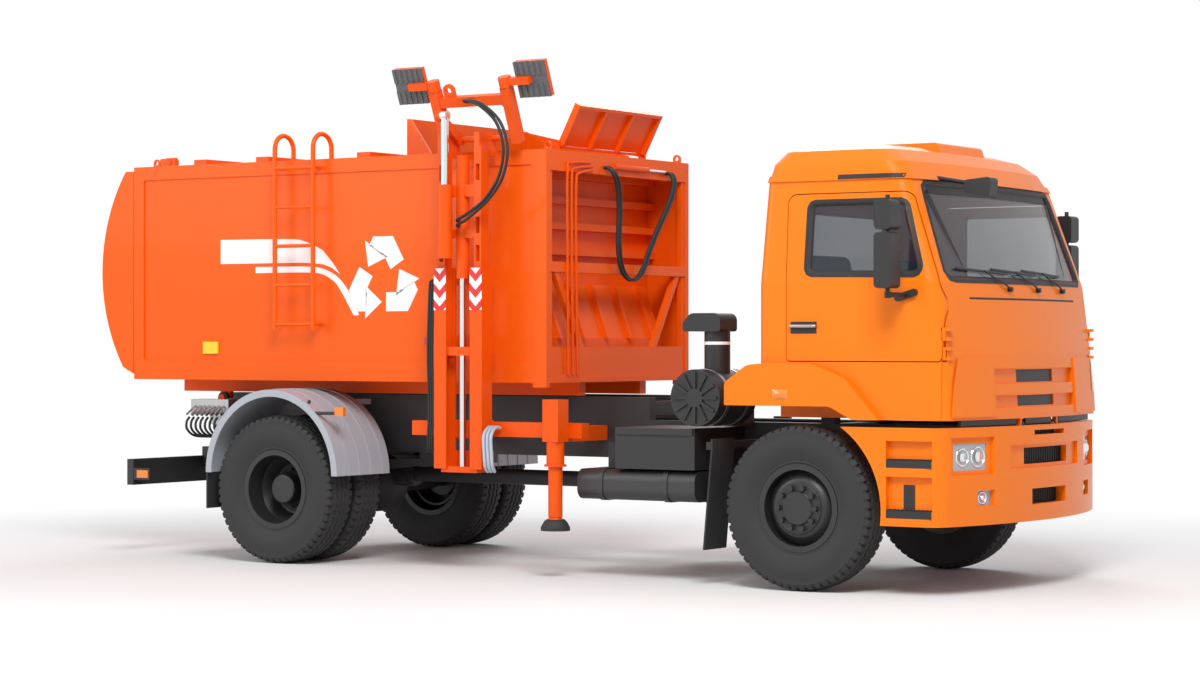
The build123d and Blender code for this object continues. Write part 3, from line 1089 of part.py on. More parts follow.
def hopper_flap():
    half = FLAP_WIDTH / 2
    rib_z = (-FLAP_RIB_DEPTH, -FLAP_SHEET)
    pieces = [block((FLAP_NEAR, FLAP_LENGTH), around(share * (half - FLAP_RIB_HALF), FLAP_RIB_HALF), rib_z)
              for share in FLAP_RIB_SHARES]
    pieces.append(block((FLAP_LENGTH - 2 * FLAP_RIB_HALF, FLAP_LENGTH), (-half, half), rib_z))
    pieces.append(rod_y(0, around(0, FLAP_PIN_END), 0, FLAP_PIN_RADIUS))
    for side in SIDES:
        pieces.append(block(FLAP_TAB, around(side * (half - FLAP_TAB_HALF), FLAP_TAB_HALF), around(0, FLAP_SHEET)))
    flap = block((FLAP_NEAR, FLAP_LENGTH), (-half, half), around(0, FLAP_SHEET)).fuse(*pieces)
    return Pos(FLAP_HINGE_X, 0, FLAP_HINGE_Z) * Rot(0, -FLAP_OPEN, 0) * flap


nodes["hopper_flap"] = hopper_flap()

# Tailgate: a bulged shell hung from the roof's rear edge
GATE_ARM_HALF = 12.0
GATE_ARM_Y = TAIL_EAR_Y.low - 25.0
GATE_ARM_X = Span(BODY_REAR_X - 110.0, BODY_REAR_X - 30.0)
GATE_ARM_TIP = 30.0
GATE_RIBS_Z = (BODY_BOTTOM_Z + 300.0, BODY_BOTTOM_Z + 1100.0)
GATE_RIB_HALF = 40.0
GATE_RIB_INSET = 12.0


def tail_face(inset):
    """Side outline of the gate, its bulged rear moved in by the inset."""
    front = BODY_REAR_X - PANEL_GAP
    low, high = BODY_BOTTOM_Z + inset, TAIL_TOP_Z - inset
    top, bottom = (TAIL_TOP_X + inset, high), (TAIL_BOTTOM_X + inset, TAIL_BOTTOM_Z + inset)
    arc = ThreePointArc(top, (TAIL_X + inset, TAIL_BULGE_Z), bottom)
    return make_face([arc, Line(bottom, (front, low)), Line((front, low), (front, high)), Line((front, high), top)])


def tail_form(inset, half_width):
    plane = Plane((0, half_width, 0), x_dir=(1, 0, 0), z_dir=(0, -1, 0))
    return extrude(plane * tail_face(inset), 2 * half_width, dir=(0, -1, 0))


def tailgate():
    recess = tail_form(0, BODY_INNER_Y) - tail_form(GATE_RIB_INSET, BODY_INNER_Y)
    ends = (TAIL_BOTTOM_Z + GATE_RIB_HALF, *GATE_RIBS_Z, TAIL_TOP_Z - GATE_RIB_HALF)
    gate = tail_form(0, BODY_SIDE_Y) - tail_form(TAIL_WALL, BODY_INNER_Y)
    for low, high in zip(ends, ends[1:]):
        gate -= recess & block((TAIL_X, TAIL_TOP_X), around(0, BODY_INNER_Y - GATE_RIB_HALF),
                               (low + GATE_RIB_HALF, high - GATE_RIB_HALF))
    tip_x, tip_z = TAIL_AXIS_X + GATE_ARM_TIP, TAIL_AXIS_Z + GATE_ARM_TIP
    root_z = TAIL_TOP_Z - GATE_ARM_TIP
    arm = [(GATE_ARM_X.low, root_z, 0), (GATE_ARM_X.low, tip_z, 30), (tip_x, tip_z, 25),
           (tip_x, TAIL_AXIS_Z - GATE_ARM_TIP, 25), (GATE_ARM_X.high, TAIL_AXIS_Z - GATE_ARM_TIP - 10, 0),
           (GATE_ARM_X.high, root_z, 0)]
    for side in SIDES:
        pin_y = on_side(side, GATE_ARM_Y - GATE_ARM_HALF, TAIL_EAR_Y.high + 10)
        gate += side_prism(arm, around(side * GATE_ARM_Y, GATE_ARM_HALF))
        gate += rod_y(TAIL_AXIS_X, pin_y, TAIL_AXIS_Z, TAIL_PIN_RADIUS)
    return gate


nodes["tailgate"] = tailgate()

# Ladder on the right wall
LADDER_RAILS_X = (BODY_REAR_X + 1436.0, BODY_REAR_X + 1786.0)
LADDER_Y = -BODY_SIDE_Y - 90.0
LADDER_Z = Span(BODY_BOTTOM_Z + 325.0, BODY_TOP_Z + 180.0)
LADDER_RADIUS = 17.0
RUNG_RADIUS = 13.0
STAY_RADIUS = 12.0
RUNG_COUNT = 5
RUNGS_Z = Span(LADDER_Z.low + 40.0, BODY_TOP_Z - 60.0)
HOOK_RADIUS = 105.0


def ladder():
    pieces = []
    for x in LADDER_RAILS_X:
        hook_y = LADDER_Y + 2 * HOOK_RADIUS
        path = FilletPolyline((x, LADDER_Y, LADDER_Z.low), (x, LADDER_Y, LADDER_Z.high), (x, hook_y, LADDER_Z.high),
                              (x, hook_y, BODY_TOP_Z), radius=HOOK_RADIUS - 1)
        section = Plane(origin=path @ 0, z_dir=path % 0) * Circle(LADDER_RADIUS)
        pieces.append(sweep(section, path=path))
        pieces.append(rod_y(x, (LADDER_Y, -BODY_SIDE_Y + PANEL_RECESS), RUNGS_Z.low, STAY_RADIUS))
        pieces.append(rod_y(x, (LADDER_Y, -BODY_SIDE_Y), RUNGS_Z.high, STAY_RADIUS))
    for index in range(RUNG_COUNT):
        z = RUNGS_Z.low + (RUNGS_Z.high - RUNGS_Z.low) * index / (RUNG_COUNT - 1)
        pieces.append(rod_x(LADDER_RAILS_X, LADDER_Y, z, RUNG_RADIUS))
    return pieces[0].fuse(*pieces[1:])


nodes["ladder"] = ladder()

# Side loader: fixed mast with its base beam and the outrigger's sleeve
RAIL_X = Span(MAST_X - MAST_RAIL_SPAN / 2, MAST_X + MAST_RAIL_SPAN / 2)
MAST_FACE_Y = around(MAST_Y, MAST_RAIL_DEPTH / 2)
MAST_EDGE_X = around(MAST_X, (MAST_RAIL_SPAN + MAST_RAIL_WIDTH) / 2)
BASE_BEAM_X = Span(MAST_X - 483.0 * STRETCH, MAST_X + 923.0 * STRETCH)
BASE_BEAM_Z = Span(RAIL_TOP_Z - 110.0, RAIL_TOP_Z - 10.0)
BASE_BEAM_Y = Span(MAST_FACE_Y.high + 10.0, MAST_FACE_Y.high + 100.0)
BASE_ARMS_X = (BASE_BEAM_X.low + 200.0 * STRETCH, BASE_BEAM_X.high - 250.0 * STRETCH)
BASE_ARM_HALF = 50.0
BASE_ARM_Z = Span(BASE_BEAM_Z.low - 30.0, BASE_BEAM_Z.low + 70.0)
TIE_HEIGHT = 120.0
TIES_Z = (MAST_BOTTOM_Z, BASE_BEAM_Z.low - 10.0, CARRIAGE_BOTTOM_Z + 20.0, MAST_TOP_Z - TIE_HEIGHT)
TIE_Y = Span(MAST_FACE_Y.high - 6.0, MAST_FACE_Y.high + 20.0)
FOOT_PLATE_Z = Span(MAST_BOTTOM_Z - 25.0, MAST_BOTTOM_Z + 15.0)
LAP = 10.0
LEG_RADIUS = 48.0
SLEEVE_RADIUS = 60.0
SLEEVE_FLANGE_RADIUS = 74.0
SLEEVE_FLANGE = 14.0
SLEEVE_BLOCK_Z = BASE_BEAM_Z.low - 20.0
SLEEVE_CAP = 10.0
LINK_HALF = 40.0
LEG_TOP_GAP = 60.0
FOOT_RADII = (95.0, 35.0)
FOOT_HEIGHT = 100.0
FOOT_LAP = 10.0


def mast_rail(x, opens):
    """Channel rail whose open side faces along X in the given direction."""
    half, wall = MAST_RAIL_WIDTH / 2, MAST_RAIL_WALL
    rail_form = block(around(x, half), MAST_FACE_Y, (MAST_BOTTOM_Z, MAST_TOP_Z))
    inside = block(around(x + opens * wall, half), (MAST_FACE_Y.low + wall, MAST_FACE_Y.high - wall), (0, FAR))
    return rail_form - inside


def outrigger_sleeve():
    """Square head with a round sleeve and flange under it, joined to the base beam."""
    half = OUTRIGGER_SIDE / 2
    x, y = around(OUTRIGGER_X, half), around(OUTRIGGER_Y, half)
    sleeve = block(x, y, (SLEEVE_BLOCK_Z, OUTRIGGER_TOP_Z))
    sleeve += rod_z(OUTRIGGER_X, OUTRIGGER_Y, (OUTRIGGER_SLEEVE_Z, SLEEVE_BLOCK_Z + LAP), SLEEVE_RADIUS)
    sleeve += rod_z(OUTRIGGER_X, OUTRIGGER_Y, (OUTRIGGER_SLEEVE_Z, OUTRIGGER_SLEEVE_Z + SLEEVE_FLANGE),
                    SLEEVE_FLANGE_RADIUS)
    sleeve += block(around(OUTRIGGER_X, LINK_HALF), (y.high - LAP, BASE_BEAM_Y.low + 2 * LAP),
                    (BASE_BEAM_Z.low + LAP, BASE_BEAM_Z.high - LAP))
    return sleeve - rod_z(OUTRIGGER_X, OUTRIGGER_Y, (0, OUTRIGGER_TOP_Z - SLEEVE_CAP), LEG_RADIUS + RUNNING_GAP)


def loader_mast():
    pieces = [mast_rail(RAIL_X.high, -1), block(BASE_BEAM_X, BASE_BEAM_Y, BASE_BEAM_Z), outrigger_sleeve()]
    pieces += [block(MAST_EDGE_X, TIE_Y, (z, z + TIE_HEIGHT)) for z in TIES_Z]
    pieces += [block(around(x, BASE_ARM_HALF), (BASE_BEAM_Y.high - LAP, -RAIL_OUTER_Y), BASE_ARM_Z) for x in BASE_ARMS_X]
    pieces.append(block(RAIL_X, (MAST_FACE_Y.low + 15, MAST_FACE_Y.high - 3), FOOT_PLATE_Z))
    return mast_rail(RAIL_X.low, 1).fuse(*pieces)


def outrigger_leg():
    leg_z = (FOOT_BOTTOM_Z + FOOT_HEIGHT - FOOT_LAP, OUTRIGGER_TOP_Z - LEG_TOP_GAP)
    foot = Pos(OUTRIGGER_X, OUTRIGGER_Y, FOOT_BOTTOM_Z + FOOT_HEIGHT / 2) * Cone(*FOOT_RADII, FOOT_HEIGHT)
    return rod_z(OUTRIGGER_X, OUTRIGGER_Y, leg_z, LEG_RADIUS) + foot


LIFT_GLAND_Z = MAST_TOP_Z - 75.0
LIFT_ROD_Z = Span(FOOT_PLATE_Z.high, LIFT_GLAND_Z + 60.0)
nodes["loader_mast"] = loader_mast()
nodes["outrigger_leg"] = outrigger_leg()
nodes["lift_rod"] = rod_z(MAST_X, MAST_Y, LIFT_ROD_Z, LIFT_ROD_RADIUS)

# Carriage: two columns inside the rails, cross plates, ears and the cylinder barrels
COLUMN_GAP = 6.0
COLUMN_WIDTH = 60.0
COLUMN_Y = around(MAST_Y, MAST_RAIL_DEPTH / 2 - MAST_RAIL_WALL - COLUMN_GAP)
REAR_COLUMN_LOW = MAST_EDGE_X.low + MAST_RAIL_WALL + COLUMN_GAP
REAR_COLUMN_X = Span(REAR_COLUMN_LOW, REAR_COLUMN_LOW + COLUMN_WIDTH)
FRONT_COLUMN_HIGH = MAST_EDGE_X.high - MAST_RAIL_WALL - COLUMN_GAP
FRONT_COLUMN_X = Span(FRONT_COLUMN_HIGH - COLUMN_WIDTH, FRONT_COLUMN_HIGH)
EAR_WIDTH = 45.0
HEAD_EAR_RADIUS = 35.0
HEAD_PIN_RADIUS = 20.0
TILT_X = MAST_X - 65.0
TILT_Y = MAST_FACE_Y.low - 60.0
TILT_BARREL_Z = Span(HEAD_AXIS_Z - 820.0, HEAD_AXIS_Z - 320.0)
TILT_CAP = 40.0
LIFT_BARREL_Z = Span(LIFT_GLAND_Z, CARRIAGE_TOP_Z - 60.0)
LIFT_CAP = 20.0
CROSS_PLATES_Z = (Span(HEAD_AXIS_Z - 680.0, HEAD_AXIS_Z - 620.0), Span(HEAD_AXIS_Z - 400.0, HEAD_AXIS_Z - 320.0))
CROSS_PLATE_Y = Span(COLUMN_Y.low + 7.0, COLUMN_Y.low + 32.0)
HOLD_HALF = 20.0
STRAP = 8.0
STRAP_HEIGHT = 60.0
COLUMN_WINDOW_HALF = 16.0
COLUMN_WINDOWS_Z = tuple(Span(CARRIAGE_BOTTOM_Z + z, CARRIAGE_BOTTOM_Z + z + 110.0) for z in (640.0, 830.0, 1190.0))


def carriage():
    span_x = (REAR_COLUMN_X.high - LAP, FRONT_COLUMN_X.low + LAP)
    height = (CARRIAGE_BOTTOM_Z, CARRIAGE_TOP_Z)
    pieces = [block(FRONT_COLUMN_X, COLUMN_Y, height)]
    for strap_y in ((COLUMN_Y.low, COLUMN_Y.low + STRAP), (COLUMN_Y.high - STRAP, COLUMN_Y.high)):
        pieces.append(block(span_x, strap_y, (CARRIAGE_BOTTOM_Z, CARRIAGE_BOTTOM_Z + STRAP_HEIGHT)))
    for z in CROSS_PLATES_Z:
        hold_y = (TILT_Y + TILT_BARREL_RADIUS - LAP, CROSS_PLATE_Y.low + LAP)
        pieces.append(block(span_x, CROSS_PLATE_Y, z))
        pieces.append(block(around(TILT_X, HOLD_HALF), hold_y, (z.low + 5, z.high - 5)))
    for column in (REAR_COLUMN_X, FRONT_COLUMN_X):
        pieces.append(block((column.low, column.low + EAR_WIDTH), (COLUMN_Y.low, HEAD_AXIS_Y + HEAD_EAR_RADIUS),
                            (LIFT_BARREL_Z.high, HEAD_AXIS_Z + HEAD_EAR_RADIUS)))
    pieces.append(rod_z(MAST_X, MAST_Y, LIFT_BARREL_Z, LIFT_BARREL_RADIUS))
    pieces.append(rod_z(TILT_X, TILT_Y, TILT_BARREL_Z, TILT_BARREL_RADIUS))
    windows = [block(around((column.low + column.high) / 2, COLUMN_WINDOW_HALF), (-FAR, FAR), z)
               for column in (REAR_COLUMN_X, FRONT_COLUMN_X) for z in COLUMN_WINDOWS_Z]
    bores = [rod_z(MAST_X, MAST_Y, (CARRIAGE_BOTTOM_Z, LIFT_BARREL_Z.high - LIFT_CAP), LIFT_ROD_RADIUS + RUNNING_GAP),
             rod_z(TILT_X, TILT_Y, (TILT_BARREL_Z.low + TILT_CAP, FAR), TILT_ROD_RADIUS + RUNNING_GAP),
             rod_x((-FAR, FAR), HEAD_AXIS_Y, HEAD_AXIS_Z, HEAD_PIN_RADIUS + RUNNING_GAP)]
    return block(REAR_COLUMN_X, COLUMN_Y, height).fuse(*pieces) - windows - bores


nodes["carriage"] = carriage()

# Tipping head: shaft, leaning posts, cross beam with gussets, lever and the two grip arms
Grip = namedtuple("Grip", "post_x side reach")
GRIPS = {"rear": Grip(MAST_X - 225.0, -1, 85.0), "front": Grip(MAST_X + 370.0, 1, 85.0)}
LEVER_X = Span(TILT_X - 50.0, TILT_X - 30.0)
LEVER_PIN = (TILT_Y, HEAD_AXIS_Z + 150.0)
LEVER_ROOT_RADIUS = 40.0
LEVER_BOSS_RADIUS = 40.0
LEVER_WIDTH = 60.0
POST_HEIGHT = 360.0
POST_SIDE = 70.0
POST_DROP = 35.0
HEAD_BEAM_Z = Span(240.0, 310.0)
HEAD_BEAM_HALF = 28.0
GUSSET_SIZE = 50.0
GUSSET_HALF = 12.0
EYE_PLATE = (45.0, 12.0, 22.0)
EYE_PLATE_SHIFT = 120.0
ROD_EYE_RADIUS = 32.0
ROD_EYE_X = Span(LEVER_X.high + SEAT_GAP, TILT_X + 25.0)
ROD_ENGAGED = 45.0
ROD_TOP_GAP = 20.0


def leaned(shape):
    """Turn a piece built upright on the head's axis outwards by the head's lean."""
    return Pos(0, HEAD_AXIS_Y, HEAD_AXIS_Z) * Rot(HEAD_LEAN, 0, 0) * shape


def head_frame():
    """Shaft, posts, beam, gussets and a drilled lug, built upright on the head's axis."""
    rear_x, front_x = GRIPS["rear"].post_x, GRIPS["front"].post_x
    pieces = [block((rear_x, front_x), around(0, HEAD_BEAM_HALF), HEAD_BEAM_Z)]
    for grip in GRIPS.values():
        pieces.append(block(around(grip.post_x, POST_SIDE / 2), around(0, POST_SIDE / 2), (-POST_DROP, POST_HEIGHT)))
        inner = grip.post_x - grip.side * (POST_SIDE / 2 - LAP)
        tip = inner - grip.side * GUSSET_SIZE
        pieces.append(side_prism([(inner, HEAD_BEAM_Z.low - GUSSET_SIZE, 0), (inner, HEAD_BEAM_Z.low + LAP, 0),
                                  (tip, HEAD_BEAM_Z.low + LAP, 0)], around(0, GUSSET_HALF)))
    radius, half, hole = EYE_PLATE
    lug_x = rear_x + EYE_PLATE_SHIFT
    lug = block(around(lug_x, radius), around(0, half), (HEAD_BEAM_Z.high - LAP, HEAD_BEAM_Z.high + radius))
    lug += rod_y(lug_x, around(0, half), HEAD_BEAM_Z.high + radius, radius)
    pieces.append(lug - rod_y(lug_x, (-FAR, FAR), HEAD_BEAM_Z.high + radius, hole))
    return rod_x((rear_x, front_x), 0, 0, HEAD_PIN_RADIUS).fuse(*pieces)


def lever():
    """Flat lever from the head's shaft to the tilt cylinder's eye."""
    pin_y, pin_z = LEVER_PIN
    rise = Vector(0, pin_y - HEAD_AXIS_Y, pin_z - HEAD_AXIS_Z)
    width = LEVER_X.high - LEVER_X.low
    plane = Plane(origin=(LEVER_X.low, HEAD_AXIS_Y, HEAD_AXIS_Z), x_dir=(1, 0, 0), z_dir=rise)
    arm = plane * (Pos(width / 2, 0, rise.length / 2) * Box(width, LEVER_WIDTH, rise.length))
    return arm.fuse(rod_x(LEVER_X, HEAD_AXIS_Y, HEAD_AXIS_Z, LEVER_ROOT_RADIUS),
                    rod_x(LEVER_X, pin_y, pin_z, LEVER_BOSS_RADIUS))


def tilt_rod():
    pin_y, pin_z = LEVER_PIN
    shank = rod_z(TILT_X, TILT_Y, (TILT_BARREL_Z.high - ROD_ENGAGED, pin_z - ROD_TOP_GAP), TILT_ROD_RADIUS)
    return shank + rod_x(ROD_EYE_X, pin_y, pin_z, ROD_EYE_RADIUS)


nodes["tip_head"] = leaned(head_frame()) + lever()
nodes["tilt_rod"] = tilt_rod()
PAD_SIDE = 250.0
PAD_THICKNESS = 30.0
PAD_DROP = 90.0
GRIP_BOSS_RADIUS = 45.0
GRIP_BOSS_HEIGHT = 70.0
GRIP_ARM_HALF = 22.0
GRIP_ARM_Z = Span(10.0, 60.0)
GRIP_ARM_LAP = 120.0


def grip_arm(grip):
    """Arm that swings about its post's end and carries a square pad."""
    base = POST_HEIGHT + SEAT_GAP
    pad_x = grip.post_x + grip.side * grip.reach
    arm_x = on_side(1, grip.post_x, pad_x + grip.side * GRIP_ARM_LAP)
    pad = block(on_side(1, pad_x, pad_x + grip.side * PAD_SIDE), (GRIP_ARM_HALF - 2, GRIP_ARM_HALF + PAD_THICKNESS),
                (base - PAD_DROP, base - PAD_DROP + PAD_SIDE))
    boss = rod_z(grip.post_x, 0, (base, base + GRIP_BOSS_HEIGHT), GRIP_BOSS_RADIUS)
    arm = block(arm_x, around(0, GRIP_ARM_HALF), (base + GRIP_ARM_Z.low, base + GRIP_ARM_Z.high))
    return leaned(boss.fuse(arm, pad))


for name, grip in GRIPS.items():
    nodes["grip_arm_" + name] = grip_arm(grip)

# Air cleaner with its intake hood, on the right behind the cab
CLEANER_X = FRONT_AXLE_X - 774.0
CLEANER_Z = RAIL_TOP_Z + 171.0
CLEANER_RADIUS = 185.0
CLEANER_Y = Span(-1100.0, -620.0)
CLEANER_RIBS = 12
CLEANER_RIB = (18.0, 12.0)
CLEANER_CAP_RADIUS = 60.0
INTAKE_Y = -850.0
INTAKE_X = CLEANER_X + 20.0
INTAKE_RADIUS = 85.0
HOOD_OUTLINE = ((-180, 430, 20), (-180, 490, 50), (-120, 550, 60), (105, 550, 50), (105, 430, 20))
HOOD_HALF = 110.0
CLEANER_FOOT_HALF = 60.0


def air_cleaner():
    face_y = CLEANER_Y.low
    cleaner = rod_y(CLEANER_X, CLEANER_Y, CLEANER_Z, CLEANER_RADIUS)
    cleaner += rod_z(INTAKE_X, INTAKE_Y, (CLEANER_Z, CLEANER_Z + HOOD_OUTLINE[0][1] + 50), INTAKE_RADIUS)
    cleaner += side_prism([(CLEANER_X + x, CLEANER_Z + z, bend) for x, z, bend in HOOD_OUTLINE],
                          around(INTAKE_Y, HOOD_HALF))
    cleaner += block(around(CLEANER_X, CLEANER_FOOT_HALF), (CLEANER_Y.high, -RAIL_OUTER_Y), (RAIL_TOP_Z - 25, CLEANER_Z))
    width, height = CLEANER_RIB
    reach = CLEANER_RADIUS - width
    spoke = Pos(reach / 2, 0, 0) * Box(reach, 2 * height, width)
    ribs = [Pos(CLEANER_X, face_y, CLEANER_Z) * Rot(0, 360 * index / CLEANER_RIBS, 0) * spoke
            for index in range(CLEANER_RIBS)]
    return cleaner.fuse(*ribs, rod_y(CLEANER_X, around(face_y, height), CLEANER_Z, CLEANER_CAP_RADIUS))


nodes["air_cleaner"] = air_cleaner()

# Battery box, silencer and fuel tank beside the rails
SIDE_GEAR_Y = Span(-1080.0, -RAIL_OUTER_Y)
BOX_X = Span(OUTRIGGER_X + 417.0 * STRETCH, FRONT_AXLE_X - 790.0)
BOX_Z = Span(RAIL_BOTTOM_Z - 40.0, RAIL_TOP_Z - 30.0)
BOX_LID = (12.0, 45.0)
SILENCER_X = Span(OUTRIGGER_X + 117.0 * STRETCH, FRONT_AXLE_X - 790.0)
SILENCER_Z = Span(530.0, 730.0)
SILENCER_Y = Span(SIDE_GEAR_Y.low, -560.0)
SILENCER_CORNER = 70.0
SILENCER_BRACKET_X = Span(SILENCER_X.low + 80.0, SILENCER_X.low + 140.0)
STRAP_SHARES = (0.2, 0.75)
STRAP_HALF = 20.0
STRAP_RAISE = 6.0
TANK_X = Span(FRONT_AXLE_X - 1900.0 * STRETCH, FRONT_AXLE_X - 800.0)
TANK_Y = Span(520.0, 1120.0)
TANK_Z = Span(480.0, 1000.0)
TANK_CORNER = 80.0
TANK_BRACKETS_X = (TANK_X.low + 200.0, TANK_X.high - 200.0)
BRACKET_HALF = 30.0


def rounded_bar(x, y, z, corner):
    """Bar along X with rounded edges."""
    outline = [(y[0], z[0]), (y[1], z[0]), (y[1], z[1]), (y[0], z[1])]
    return cross_prism([(u, v, corner) for u, v in outline], x)


def battery_box():
    lip, height = BOX_LID
    box = block(BOX_X, SIDE_GEAR_Y, BOX_Z)
    return box + block(around((BOX_X.low + BOX_X.high) / 2, (BOX_X.high - BOX_X.low) / 2 - lip),
                       (SIDE_GEAR_Y.low - lip, SIDE_GEAR_Y.high), (BOX_Z.high - height, BOX_Z.high))


def silencer():
    drum = rounded_bar(SILENCER_X, SILENCER_Y, SILENCER_Z, SILENCER_CORNER)
    for share in STRAP_SHARES:
        x = SILENCER_X.low + share * (SILENCER_X.high - SILENCER_X.low)
        drum += rounded_bar(around(x, STRAP_HALF), (SILENCER_Y.low - STRAP_RAISE, SILENCER_Y.high),
                            (SILENCER_Z.low - STRAP_RAISE, SILENCER_Z.high + STRAP_RAISE), SILENCER_CORNER)
    bracket_y = ((SILENCER_Y.low + SILENCER_Y.high) / 2, -RAIL_OUTER_Y)
    return drum + block(SILENCER_BRACKET_X, bracket_y, (SILENCER_Z.high - 60, RAIL_BOTTOM_Z + 120))


def fuel_tank():
    brackets = [block(around(x, BRACKET_HALF), (RAIL_OUTER_Y, TANK_Y.low + 40),
                      (RAIL_BOTTOM_Z + 40, RAIL_BOTTOM_Z + 140)) for x in TANK_BRACKETS_X]
    return rounded_bar(TANK_X, TANK_Y, TANK_Z, TANK_CORNER) + brackets


nodes["battery_box"] = battery_box()
nodes["silencer"] = silencer()
nodes["fuel_tank"] = fuel_tank()

# Rear mudguards: ribbed arches with an outer lip
GUARD_RADIUS = 600.0
GUARD_WALL = 12.0
GUARD_LIP = 50.0
GUARD_Z = AXLE_Z + 110.0
GUARD_Y = Span(640.0, 1245.0)
GUARD_RIBS_Y = (720.0, 850.0, 980.0, 1110.0)
GUARD_RIB_HALF = 10.0
GUARD_RIB_RAISE = 6.0
GUARD_STAYS_X = (REAR_AXLE_X - 250.0, REAR_AXLE_X + 250.0)
GUARD_STAY_HALF = 25.0
GUARD_STAY_Z = Span(RAIL_TOP_Z + 80.0, RAIL_TOP_Z + 120.0)


def guard_drum(y, radius):
    """Drum on the guard's centre line."""
    return rod_y(REAR_AXLE_X, y, GUARD_Z, radius)


def rear_mudguard():
    guard = guard_drum(GUARD_Y, GUARD_RADIUS)
    guard += [guard_drum(around(y, GUARD_RIB_HALF), GUARD_RADIUS + GUARD_RIB_RAISE) for y in GUARD_RIBS_Y]
    guard -= guard_drum((0, GUARD_Y.high - GUARD_WALL), GUARD_RADIUS - GUARD_WALL)
    guard -= guard_drum((0, FAR), GUARD_RADIUS - GUARD_LIP)
    guard -= block((-FAR, FAR), (0, FAR), (0, GUARD_Z))
    stays = [block(around(x, GUARD_STAY_HALF), (RAIL_OUTER_Y, GUARD_Y.low + 30), GUARD_STAY_Z) for x in GUARD_STAYS_X]
    return guard + stays


nodes["rear_mudguards"] = pair(rear_mudguard())

# Underrun bar, valve bank and front mudflaps
BAR_X = Span(TAIL_X + 500.0, TAIL_X + 560.0)
BAR_HALF_WIDTH = 1200.0
BAR_Z = Span(520.0, 710.0)
BAR_ARM_Y = Span(365.0, 425.0)
BAR_ARM_FRONT_X = FRAME_REAR_X + 200.0
VALVE_X = REAR_AXLE_X - 898.0
VALVE_COUNT = 7
VALVE_PITCH = 45.0
VALVE_BODY_Y = Span(-860.0, -720.0)
VALVE_BODY_Z = Span(RAIL_TOP_Z + 10.0, RAIL_TOP_Z + 110.0)
VALVE_FOOT_Z = Span(RAIL_BOTTOM_Z + 180.0, RAIL_TOP_Z + 40.0)
VALVE_FOOT_HALF = 120.0
FITTING_RADIUS = 8.0
FITTING_DROP = (100.0, 60.0)
FLAP_X = FRONT_AXLE_X - 620.0
FLAP_THICKNESS = 12.0
FLAP_SLANT = 60.0
FLAP_Y = Span(880.0, 1160.0)
FLAP_Z = Span(235.0, 950.0)
FLAP_BAR_Z = Span(880.0, 930.0)
FLAP_BAR_DEPTH = 40.0


def underrun_bar():
    arms = [block((BAR_X.high - LAP, BAR_ARM_FRONT_X), on_side(side, *BAR_ARM_Y), (BAR_Z.low + 100, RAIL_BOTTOM_Z))
            for side in SIDES]
    return block(BAR_X, around(0, BAR_HALF_WIDTH), BAR_Z) + arms


def valve_bank():
    half = VALVE_PITCH * (VALVE_COUNT + 1) / 2
    bank = block(around(VALVE_X, half), VALVE_BODY_Y, VALVE_BODY_Z)
    bank += block(around(VALVE_X, VALVE_FOOT_HALF), (VALVE_BODY_Y.high, -RAIL_OUTER_Y), VALVE_FOOT_Z)
    out, drop = FITTING_DROP
    middle = (VALVE_BODY_Z.low + VALVE_BODY_Z.high) / 2
    for index in range(VALVE_COUNT):
        x = VALVE_X + VALVE_PITCH * (index - (VALVE_COUNT - 1) / 2)
        bank += rod((x, VALVE_BODY_Y.low, middle), (x, VALVE_BODY_Y.low - out, middle - drop), FITTING_RADIUS)
    return bank


def front_mudflap():
    flap = side_prism([(FLAP_X, FLAP_Z.high, 0), (FLAP_X + FLAP_THICKNESS, FLAP_Z.high, 0),
                       (FLAP_X + FLAP_THICKNESS, FLAP_BAR_Z.low, 0), (FLAP_X + FLAP_THICKNESS - FLAP_SLANT, FLAP_Z.low, 0),
                       (FLAP_X - FLAP_SLANT, FLAP_Z.low, 0), (FLAP_X, FLAP_BAR_Z.low, 0)], FLAP_Y)
    return flap + block((FLAP_X - FLAP_BAR_DEPTH, FLAP_X), (RAIL_OUTER_Y, FLAP_Y.high - LAP), FLAP_BAR_Z)


nodes["underrun_bar"] = underrun_bar()
nodes["valve_bank"] = valve_bank()
nodes["front_mudflaps"] = pair(front_mudflap())

os.makedirs("parts", exist_ok=True)
for name, shape in nodes.items():
    export_step(shape, f"parts/{name}.step")
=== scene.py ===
"""Looks of a side-loading garbage truck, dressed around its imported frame.

Everything is in metres in the frame's own axes: X forward, Y to the truck's left, Z up.
"""

from __future__ import annotations

import json
import logging
import math
from collections.abc import Iterable, Sequence
from dataclasses import dataclass, field
from enum import Enum
from functools import cache

import bmesh
import bpy
import numpy as np
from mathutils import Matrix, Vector
from mathutils.bvhtree import BVHTree

